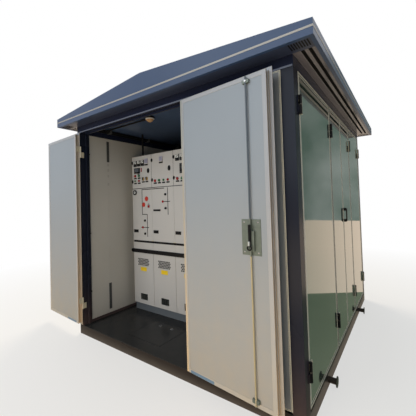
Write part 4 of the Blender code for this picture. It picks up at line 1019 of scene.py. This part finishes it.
# %% Displays
tall_x = gear_x(2, 0.150)
screens = [
    plate_mesh(0.219, 1.669, 0.098, 0.062, 0.0068),
    plate_mesh(tall_x, 1.636, 0.114, 0.102, 0.0068),
    plate_mesh(0.240, 1.631, 0.036, 0.008, 0.0020),
]
piece("relay_cases", screens, black, 0.0015)
piece("tall_screen", [plate_mesh(tall_x - 0.006, 1.648, 0.066, 0.046, 0.0008, 0.0066)], dark_glass, 0.0004)
screen_grey = enamel("screen_grey", (98, 104, 112), 0.12, (120, 126, 134), 0.3, radius=0.0004)
piece("relay_screens", [plate_mesh(0.214, 1.673, 0.066, 0.038, 0.0008, 0.0066)], screen_grey, 0.0004)
buttons = [plate_mesh(0.258, 1.690 - 0.014 * k, 0.009, 0.007, 0.0020, 0.0066) for k in range(3)]
buttons += [plate_mesh(tall_x - 0.036 + 0.018 * k, 1.600, 0.010, 0.008, 0.0020, 0.0066) for k in range(5)]
piece("relay_buttons", buttons, line_grey, 0.0005)
piece("relay_strip", [plate_mesh(0.290, 1.674, 0.014, 0.046, 0.0040)], crimson, 0.0008)
print("cases", len(screens), "buttons", len(buttons))

# %% [markdown]
# The signal lamps are red and green and not all of one size. The solids already carry their
# bosses, so each lens is a dome turned about the boss: a short skirt and then a flat curve.

# %% Signal lamps
LAMP_FROM_EDGE = 0.057
LAMP_PITCH = 0.064
LAMP_Z = 1.535
first = gear_x(0, LAMP_FROM_EDGE)
red_lamps = [(first, 1.609, 0.0140), (first + LAMP_PITCH, 1.551, 0.0118)]
green_lamps = [(first + LAMP_PITCH, 1.609, 0.0140), (first, 1.551, 0.0105)]
for i in range(1, PANELS):
    start = gear_x(i, LAMP_FROM_EDGE)
    red_lamps += [(start, LAMP_Z, 0.0145), (start + 3 * LAMP_PITCH, LAMP_Z, 0.0125)]
    green_lamps += [(start + LAMP_PITCH, LAMP_Z, 0.0138), (start + 2 * LAMP_PITCH, LAMP_Z, 0.0115)]


def lenses(points):
    """Domed lamp lenses on the bosses."""
    made = []
    for x, z, radius in points:
        dome = [(radius * 1.08, -0.0076), (radius * 1.08, -0.001)]
        for turn in (math.radians(a) for a in range(0, 76, 15)):
            dome.append((radius * math.cos(turn), radius * 0.5 * math.sin(turn)))
        made.append(turned_mesh(dome, place(x, GEAR_FRONT - 0.0082, z), TO_FRONT, 18))
    return made


piece("red_lenses", lenses(red_lamps), crimson)
piece("green_lenses", lenses(green_lamps), green)
print("lamps", len(red_lamps) + len(green_lamps))

# %% [markdown]
# Two key switches have oval brass collars, which are turned discs drawn out in height. Below
# each lamp and key is a black name strip, left bare.

# %% Key switches and name strips
def oval(x, z, wide, tall, proud):
    """Oval fitting on the gear's front: a turned disc that is drawn out in height."""
    disc = turned_mesh([(1.0, 0.0), (1.0, proud * 0.6), (0.75, proud)], (0, 0, 0), TO_FRONT, 22)
    spot = Matrix.Translation(Vector(place(x, GEAR_FRONT, z)))
    disc.transform(spot @ Matrix.Diagonal((wide / 2, 1, tall / 2, 1)))
    return disc


key_spots = [(gear_x(0, across), 1.568) for across in (0.192, 0.250)]
piece("key_sleeves", [oval(x, z, 0.034, 0.042, 0.0088) for x, z in key_spots], brass)
levers = [plate_mesh(x, z + 0.003, 0.0080, 0.030, 0.012, 0.0086) for x, z in key_spots]
piece("key_levers", levers, line_grey, 0.0012)
BELOW_LAMP = 0.0270
BELOW_KEY = 0.0335
name_spots = [(x, z - BELOW_LAMP) for x, z, _ in red_lamps + green_lamps]
name_spots += [(x, z - BELOW_KEY) for x, z in key_spots]
piece("name_strips", [plate_mesh(x, z, 0.046, 0.0155, 0.0016) for x, z in name_spots], black, 0.0003)
print("keys", len(key_spots), "name strips", len(name_spots))

# %% [markdown]
# Each low-voltage door has an oval swing latch at its right and two small hinges at its left.

# %% Latches and small hinges of the low-voltage doors
latches = []
for x in (0.404, 0.725, 1.056, 1.382):
    latches += [oval(x, 1.655, 0.038, 0.056, 0.006), plate_mesh(x, 1.650, 0.010, 0.026, 0.006, 0.0058)]
barrels = [oval(gear_x(i, 0.009), z, 0.024, 0.040, 0.009) for i in range(PANELS) for z in (1.764, 1.546)]
piece("door_latches", latches, black, 0.0008)
piece("small_hinges", barrels, black, 0.0006)
print("latch meshes", len(latches), "hinges", len(barrels))

# %% [markdown]
# ## Fittings of the doors
# The right leaf carries the lock: a zinc plate with four screws, a black lever that ends in a
# ring, and two rods. The upper rod is dark steel and the lower one is yellow-passivated, so
# each gets a sleeve in its own finish over the plain solid.

# %% Lock screws and rods on the right leaf
PANEL_FACE = LEAF_FACE - 0.0012
PLATE_FRONT = PANEL_FACE + 0.003
LEAF_START = 0.0025
LEAF_WIDTH = 0.707
LOCK_FROM_EDGE = 0.147
ROD_X = -(LEAF_START + LEAF_WIDTH - LOCK_FROM_EDGE)
ROD_Y = PANEL_FACE + 0.012
LOCK_Z = 1.074
screw_head = [(0.0050, 0.0), (0.0050, 0.0012), (0.0030, 0.0026)]
screws = [
    turned_mesh(screw_head, (ROD_X + dx, PLATE_FRONT, LOCK_Z + dz), TO_REAR, 14)
    for dx in (-0.046, 0.046)
    for dz in (-0.086, 0.086)
]
piece("lock_screws", screws, steel, body="right_leaf")
rod_grey = enamel("rod_dark", (92, 102, 112), 0.3, (124, 132, 142), 0.1, radius=0.001)
rod_yellow = coated("rod_passivated", (198, 182, 142), 0.35, (214, 204, 170), 0.15, 0.2, 0.5, 0.4, 0.001)
for name, low, high, finish in (
    ("upper_rod_sleeve", 1.182, 1.998, rod_grey),
    ("lower_rod_sleeve", 0.132, 0.966, rod_yellow),
):
    rod = upright_bar(0.0054, low, high, (ROD_X, ROD_Y, 0))
    piece(name, [rod], finish, body="right_leaf")
print("screws", len(screws))

# %% [markdown]
# A bead runs up the flange beside the leaf's hinge, painted light as a painted highlight. It is
# cool at the top, and its low colour is painted warm sunlight, which reaches higher than on other
# paints.

# %% Bead of the right leaf
frame_low, frame_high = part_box("right_leaf_frame")
BEAD_SHORTER = 0.022
bead_foot, bead_top = frame_low[2] + BEAD_SHORTER, frame_high[2] - BEAD_SHORTER
bead = box_mesh((-0.0270, LEAF_FACE - 0.0006, bead_foot), (-0.0108, LEAF_FACE + 0.0012, bead_top))
# Painted highlight, warmed low down by painted sunlight.
bead_painted_sun = colour(255, 214, 158)
bead_highlight_paint = coated("leaf_bead", (150, 164, 170), 0.35, (200, 208, 210), 0.05, 1.0, 3.4, 0.2, 0.0008, bead_painted_sun)
piece("right_leaf_bead", [bead], bead_highlight_paint, 0.0006, "right_leaf")
print("bead from", round(bead_foot, 3), "to", round(bead_top, 3))

# %% [markdown]
# The lever ends in a ring, a key stands in the lock, and a bright bracket guides the upper rod.
# A tube along a full circle is the simplest way to the ring.

# %% Lever ring, key and rod guide
loop = arc((ROD_X, ROD_Y + 0.016, 1.016), (0.013, 0, 0), (0, 0, 0.013), 360, 20)
piece("lever_ring", [tube_mesh(loop, 0.0042)], black, body="right_leaf")
key = box_mesh((ROD_X - 0.004, ROD_Y + 0.010, 1.028), (ROD_X + 0.004, ROD_Y + 0.024, 1.052))
piece("lock_key", [key], dial_white, 0.001, "right_leaf")
bracket = [
    box_mesh((ROD_X - 0.020, PLATE_FRONT - 0.0028, 1.966), (ROD_X + 0.020, PLATE_FRONT - 0.0008, 1.982)),
    box_mesh((ROD_X - 0.0068, PLATE_FRONT - 0.0008, 1.968), (ROD_X + 0.0068, ROD_Y + 0.0068, 1.980)),
]
piece("rod_guide_cover", bracket, steel, 0.0008, "right_leaf")

# %% [markdown]
# ## Side door hinges
# Each side door hangs on two black hinges. Half of a hinge is fixed to the upright and half to
# the door, so each half is its own piece and rides with what it is screwed to. A bright plate
# with two screws shows beside it on the door.

# %% Hinge covers
SIDE_OUT = 0.0095
HINGE_LEVELS = (0.310, 1.830)
HINGE_SPLIT = 0.0010
HINGE_REACH = 0.056
hinge_sides = {
    "side_door_a": (0.0775, 1),
    "side_door_b": (0.8740, 1),
    "side_door_c": (1.7360, -1),
    "side_door_d": (LENGTH - 0.0775, -1),
}


def hinge_span(level, upper):
    """Heights of the upper or the lower half of a hinge."""
    return (level + HINGE_SPLIT, level + HINGE_REACH) if upper else (level - HINGE_REACH, level - HINGE_SPLIT)


def hinge_cover(y, hand, on_door):
    """Black knuckle covers of one half of both hinges of a side door."""
    covers = []
    near, far = sorted((y, y + hand * (0.004 if on_door else -0.012)))
    for level in HINGE_LEVELS:
        low, high = hinge_span(level, on_door)
        covers.append(box_mesh(place(WIDTH + 0.0004, near, low), place(WIDTH + SIDE_OUT, far, high)))
        covers.append(upright_bar(0.0090, low, high, place(WIDTH + SIDE_OUT, y, 0), 18))
    return covers


def hinge_plate(y, hand):
    """Bright plates of both hinges on a side door, each with two screw heads."""
    made = []
    near, far = sorted((y + hand * 0.0095, y + hand * 0.0315))
    front = WIDTH + SIDE_OUT + 0.0012
    for level in HINGE_LEVELS:
        made.append(box_mesh(place(WIDTH + 0.0040, near, level - 0.054), place(front, far, level + 0.056)))
        for dz in (-0.036, 0.038):
            spot = place(front, (near + far) / 2, level + dz)
            made.append(turned_mesh([(0.0042, 0.0), (0.0042, 0.0008), (0.0026, 0.0018)], spot, TO_RIGHT, 12))
    return made


for door, (y, hand) in hinge_sides.items():
    piece(f"{door}_hinge_cover", hinge_cover(y, hand, True), black, 0.0008, door)
    piece(f"{door}_hinge_plate", hinge_plate(y, hand), hinge_cream, 0.0005, door)
    piece(f"{door}_hinge_base", hinge_cover(y, hand, False), black, 0.0008)
print("doors with hinges", len(hinge_sides))

# %% [markdown]
# The front leaves hang on bright hinges. With a leaf folded right back, its own half shows on
# the edge of the leaf, and the other half shows below it in the reveal of the post. Only the
# left leaf's hinges are dressed here.

# %% Front leaf hinges
leaf_halves, post_halves = [], []
for level in HINGE_LEVELS:
    low, high = hinge_span(level, True)
    leaf_halves.append(box_mesh((0.0004, 0.008, low), (0.0024, 0.038, high)))
    leaf_halves.append(upright_bar(0.0062, low, high, (0, 0, 0)))
    low, high = hinge_span(level, False)
    post_halves.append(box_mesh(place(0.0602, 0.002, low), place(0.0618, 0.032, high)))
    post_halves.append(upright_bar(0.0062, low, high, place(LEFT_HINGE_X, HINGE_Y, 0)))
piece("left_leaf_hinge_plate", leaf_halves, hinge_cream, 0.0005, "left_leaf")
piece("left_post_hinge_plate", post_halves, hinge_cream, 0.0005)
print("hinge halves", len(leaf_halves) // 2 + len(post_halves) // 2)

# %% [markdown]
# ## Inside the kiosk
# The left wall has one joint with a cover strip, two dark tape patches and a few faint marks of
# older tape. Each is a thin box on the wall's inner face, so one helper makes them all.

# %% Left wall fittings
WALL_IN = 0.0497


def wall_strip(y0, y1, z0, z1, low, high):
    """Strip on the left wall's inner face, between two depths measured out of that face."""
    return box_mesh(place(WALL_IN + low, y0, z0), place(WALL_IN + high, y1, z1))


seam = wall_strip(0.316, 0.324, 0.115, 2.018, 0.0, 0.0012)
piece("wall_joint_strip", [seam], wall_finish["wall_left"], 0.0004)
tape_spans = ((1.760, 1.990), (0.150, 0.430))
tapes = [wall_strip(0.304, 0.336, low, high, 0.0010, 0.0026) for low, high in tape_spans]
piece("wall_tapes", tapes, line_grey, 0.0008)
marks = [wall_strip(0.310, 0.330, z, z + 0.030, 0.0010, 0.0018) for z in (1.715, 1.655, 1.590, 1.500)]
faint = coated("tape_marks", (192, 189, 182), 0.5, (190, 186, 180), 0.2, 0.3, 0.5, 0.2, 0.0004)
piece("wall_tape_marks", marks, faint, 0.0003)
print("tapes", len(tapes), "faint marks", len(marks))

# %% [markdown]
# Three black studs on the post catch the closed leaf. Along the front head rail a thin lip is
# painted light blue, a painted highlight on the rail's lower edge. It starts 2 mm above the leaf
# frames or the rail's underside, whichever is higher, so that a closed leaf clears it.

# %% Studs and lip of the doorway
LIP_CLEARANCE = 0.002
LIP_HEIGHT = 0.010
post_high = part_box("post_front_left")[1]
stud = [(0.008, 0.0003), (0.008, 0.007), (0.006, 0.010)]
stud_y = post_high[1] - 0.012
studs = [turned_mesh(stud, (post_high[0], stud_y, z), TO_RIGHT, 16) for z in (1.814, 0.997, 0.408)]
piece("post_studs", studs, black)
rail_low, rail_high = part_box("front_lintel")
foot = max(rail_low[2], frame_high[2]) + LIP_CLEARANCE
lip_low = (rail_low[0] + 0.004, rail_low[1] - 0.0012, foot)
lip_high = (rail_high[0] - 0.004, rail_low[1] + 0.001, foot + LIP_HEIGHT)
# Painted highlight along the head rail's lower edge.
lip_painted_highlight = enamel("lintel_highlight_lip", (116, 124, 146), 0.35, (160, 168, 186), 0.10, 0.4, 0.0008)
piece("lintel_highlight_lip", [box_mesh(lip_low, lip_high)], lip_painted_highlight, 0.0006)
print("studs", len(studs), "lip foot at", round(foot, 4))

# %% [markdown]
# A dark angle closes the foot of the left and rear walls. Behind the feet of the side doors lie
# low black stops, one between each two uprights, which keep daylight out under the doors.

# %% Skirting and sill stops
FLOOR_LEVEL = 0.0870
skirt = [
    wall_strip(0.092, 2.368, FLOOR_LEVEL, 0.112, 0.0, 0.012),
    box_mesh(place(0.092, LENGTH - WALL_IN - 0.012, FLOOR_LEVEL), place(2.158, LENGTH - WALL_IN, 0.112)),
]
piece("wall_skirting", skirt, navy, 0.001)
row = ("post_front_right", "side_mullion_front", "side_mullion_rear", "post_rear_right")
uprights = [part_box(node) for node in row]
stops = [
    box_mesh((1.058, near[1] + 0.001, FLOOR_LEVEL), (1.080, far[1] - 0.001, 0.1360))
    for (_, near), (far, _) in zip(uprights, uprights[1:])
]
piece("side_sill_stops", stops, black, 0.001)
print("sill stops", len(stops))

# %% [markdown]
# The floor hatch is lifted by two finger holes. Each holds a shallow cup, turned from a profile
# with a wall and a bottom, and a thin steel rim lies round it.

# %% Finger cups of the hatch
outside = [(0.0002, -0.0125), (0.0106, -0.0125), (0.0106, -0.0002)]
cup = outside + [(0.0098, -0.0002), (0.0098, -0.0115), (0.0002, -0.0115)]
spots = [place(x, 0.405, 0.0863) for x in (0.7275, 0.8775)]
cups = [turned_mesh(cup, spot, UPWARD) for spot in spots]
rims = []
for x, y, z in spots:
    rims.append(tube_mesh(arc((x, y, z + 0.0012), (0.0125, 0, 0), (0, 0.0125, 0), 360, 20), 0.0012, 8))
piece("hatch_cups", cups, floor_black)
piece("hatch_cup_rims", rims, steel)
print("cups", len(cups))

# %% [markdown]
# A strip of the blue film that protected the leaves in transport is still on the foot of each.

# %% Film strips
film = coated("blue_film", (112, 142, 168), 0.30, (160, 184, 204), 0.2, 0.1, 0.5, 0.3, 0.0004)
for body, low, high in (("right_leaf", -0.250, -0.045), ("left_leaf", 0.050, 0.230)):
    film_strip = box_mesh((low, PANEL_FACE, 0.1205), (high, LEAF_FACE + 0.0004, 0.1400))
    piece(f"{body}_film", [film_strip], film, 0.0002, body)

# %% [markdown]
# The eaves breathe through louvres near each corner. The solids have slots there, but those of
# the real kiosk look larger, so dark bars under the sheet draw them wider, as painted shade of
# the roof void behind.

# %% Vent louvres under the front and rear eaves
LOUVRE_PITCH = 0.014
bars = []
for node in ("soffit_front", "soffit_rear"):
    low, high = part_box(node)
    middle = (low[1] + high[1]) / 2
    for corner in (-1, 1):
        for k in range(8):
            x = corner * (high[0] - 0.036 - LOUVRE_PITCH * k)
            bar_low = (x - 0.0038, middle - 0.034, low[2] - 0.0010)
            bars.append(box_mesh(bar_low, (x + 0.0038, middle + 0.034, low[2] - 0.0003)))
# Painted shade: dark bars that widen the louvre slots.
piece("soffit_louvre_shade", bars, black)
print("louvres", len(bars))

# %% [markdown]
# Two rigid conduits run back under the ceiling along the left wall, held by clips, and a third
# crosses to the lamp. A pale turned collar holds the lamp's globe to its base.

# %% Conduits and lamp
BRANCH_Y = 0.255
pipes = []
for x, z in ((0.092, 2.074), (0.122, 2.084)):
    pipes.append(tube_mesh([place(x, y, z) for y in (0.075, 1.2, 2.38)], 0.0105, 14))
pipes.append(tube_mesh([place(x, BRANCH_Y, 2.0835) for x in (0.122, 0.450, 0.752)], 0.008, 12))
piece("ceiling_conduits", pipes, black)
clips = [box_mesh(place(0.074, y, 2.062), place(0.140, y + 0.018, 2.0985)) for y in (0.30, 0.85, 1.40, 1.95)]
piece("conduit_clips", clips, line_grey, 0.001)
globe_low, globe_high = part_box("lamp_globe")
collar_at = ((globe_low[0] + globe_high[0]) / 2, (globe_low[1] + globe_high[1]) / 2, globe_high[2])
collar = [(0.0400, -0.0012), (0.0420, -0.0030), (0.0405, -0.0090), (0.0375, -0.0110)]
piece("lamp_collar", [turned_mesh(collar, collar_at, UPWARD, 28)], dial_white)
print("conduits", len(pipes), "clips", len(clips))

# %% [markdown]
# ## Floor, light and background
# The kiosk stands on a plain pale floor under soft light. A white background comes from the
# world as the camera and the glossy surfaces see it, while the light that reaches the kiosk
# stays moderate. The floor keeps the kiosk's shadow and fades into white further out.

# %% Helpers for the background
def eye_rays(tree):
    """The kinds of ray, and a mask of those from the camera or seen in metal and glass."""
    ray = tree.nodes.new("ShaderNodeLightPath").outputs
    mirrored = calc(tree, "MAXIMUM", ray["Is Camera Ray"], ray["Is Glossy Ray"])
    return ray, calc(tree, "MAXIMUM", mirrored, ray["Is Transmission Ray"])


def span(tree, value, low, high, to_low=0.0, to_high=1.0):
    """Value from low to high, mapped to another span and held inside it."""
    node = tree.nodes.new("ShaderNodeMapRange")
    feed_all(tree, node.inputs, Value=value, From_Min=low, From_Max=high, To_Min=to_low, To_Max=to_high)
    return node.outputs["Result"]


def mix_shaders(tree, amount, first, second):
    """Mix of two shaders by an amount."""
    node = tree.nodes.new("ShaderNodeMixShader")
    for socket, value in zip(node.inputs, (amount, first, second)):
        feed(tree, socket, value)
    return node.outputs[0]


def flat_mesh(name, corners):
    """Mesh of one flat face."""
    made = bpy.data.meshes.new(name)
    made.from_pydata(corners, [], [range(len(corners))])
    return made


print("background helpers ready")

# %% [markdown]
# The floor is one large square. Close to the kiosk a good part of it is lit paper, which shows
# the shadow. Further out a glow takes over, until floor and background are one white.

# %% Floor
REACH = 60.0
square = ((-1, -1), (1, -1), (1, 1), (-1, 1))
ground = flat_mesh("studio_floor", [(REACH * x, REACH * y, 0) for x, y in square])
floor = stand("studio_floor", ground)
floor.location.z = -0.0005
paper, tree = blank("studio_paper", Roughness=0.8, Base_Color=colour(238, 221, 196))[:2]
ray, seen = eye_rays(tree)
fade = span(tree, vector_step(tree, "LENGTH", own_coordinates(tree)), 1.4, 5.5, 0.62, 1.0)
glow = tree.nodes.new("ShaderNodeEmission")
feed(tree, glow.inputs["Color"], blend(tree, ray["Is Glossy Ray"], WHITE4, colour(226, 207, 186)))
lit = tree.nodes["Principled BSDF"].outputs["BSDF"]
shown = mix_shaders(tree, calc(tree, "MULTIPLY", fade, seen), lit, glow.outputs["Emission"])
feed(tree, tree.nodes["Material Output"].inputs["Surface"], shown)
ground.materials.append(paper)
print("floor", REACH * 2, "m across")

# %% [markdown]
# The world has two backgrounds. A soft blue one lights the kiosk, as a clear sky would, and a
# plain white one is what the camera, metal and glass see.

# %% World
world = bpy.data.worlds.new("studio_world")
bpy.context.scene.world = world
world.use_nodes = True
tree = world.node_tree
tree.nodes.clear()


def background(tint, strength):
    """Background shader of one even colour."""
    node = tree.nodes.new("ShaderNodeBackground")
    feed_all(tree, node.inputs, Color=tint, Strength=strength)
    return node.outputs[0]


sky = background((0.70, 0.85, 1.0, 1.0), 0.36)
output = tree.nodes.new("ShaderNodeOutputWorld")
feed(tree, output.inputs["Surface"], mix_shaders(tree, eye_rays(tree)[1], sky, background(WHITE4, 1.0)))
print("world nodes", len(tree.nodes))

# %% [markdown]
# Two large softboxes give the main light: a cool one in front and a warmer one from the back.
# Two small warm ones near the ground stand for the light that a sunny yard throws up onto the
# feet of the open leaves.

# %% Lamps
def softbox(name, spot, aim, size, power, tint):
    """Large square lamp that looks at a point."""
    lamp = bpy.data.lights.new(name, "AREA")
    lamp.shape = "SQUARE"
    lamp.size = size
    lamp.energy = power
    lamp.color = tint
    obj = stand(name, lamp)
    obj.location = spot
    obj.rotation_euler = (Vector(aim) - Vector(spot)).to_track_quat("-Z", "Y").to_euler()


softbox("front_softbox", (-1.5, -7.0, 4.2), (0.0, 0.0, 1.2), 5.0, 146, (0.84, 0.92, 1.0))
softbox("top_softbox", (-3.6, 3.4, 6.6), (0.3, -0.3, 0.0), 3.6, 380, (1.0, 0.98, 0.94))
softbox("right_bounce", (0.85, -2.9, 0.12), (0.62, -1.3, 0.55), 1.5, 17, (1.0, 0.80, 0.54))
softbox("left_bounce", (-1.7, -3.0, 0.12), (-1.4, -1.3, 0.55), 1.5, 5, (1.0, 0.78, 0.50))
print("lamps", len(bpy.data.lights))

# %% [markdown]
# Mirror-like doors show whatever stands beside them, and in an empty white room they look
# chalky. A photographer stands a dark card, called a flag, out of the picture where the doors
# reflect it. Only reflections see these two, and each glows with its own colour. The upright one
# ends above the floor, so the doors show a band of pale floor under it. The one that lies by the
# doors is a painted shadow of the kiosk on the ground, which keeps their feet dark.

# %% Flags for the mirror doors
def flag_card(name, corners, dark, light):
    """Flat card that only reflections see, glowing with its own colour."""
    card = flat_mesh(name, corners)
    flag = stand(name, card)
    flag.visible_camera = False
    flag.visible_diffuse = False
    flag.visible_shadow = False
    flag.visible_transmission = False
    unlit = {"Roughness": 1.0, "Base_Color": (0.0, 0.0, 0.0, 1.0), "Specular_IOR_Level": 0.0}
    cloth, tree, shader = blank(name, Emission_Strength=1.0, **unlit)
    leafy = noise(tree, own_coordinates(tree), 0.45, 5.0)
    feed(tree, shader["Emission Color"], blend(tree, span(tree, leafy, 0.35, 0.65), dark, light))
    card.materials.append(cloth)


ABOVE_FLOOR = 0.002
upright = [(1.95, 9.0, 0.42), (14.0, 9.0, 0.42), (14.0, 9.0, 7.0), (1.95, 9.0, 7.0)]
flag_card("upright_flag", upright, (0.10, 0.15, 0.12, 1.0), (0.30, 0.335, 0.31, 1.0))
# Painted shadow of the kiosk on the ground, seen only in reflections.
outline = ((1.16, -2.4), (4.2, -2.4), (3.2, 0.06), (1.794, 1.076), (1.16, 1.535))
shadow_flag_corners = [(x, y, ABOVE_FLOOR) for x, y in outline]
flag_card("floor_shadow_flag", shadow_flag_corners, (0.12, 0.15, 0.10, 1.0), (0.17, 0.20, 0.14, 1.0))
print("flag corners", len(upright), len(shadow_flag_corners))

# %% [markdown]
# ## Colour view and closing
# The plain Standard view keeps colours as they are written.

# %% Finish
bpy.context.scene.view_settings.view_transform = "Standard"
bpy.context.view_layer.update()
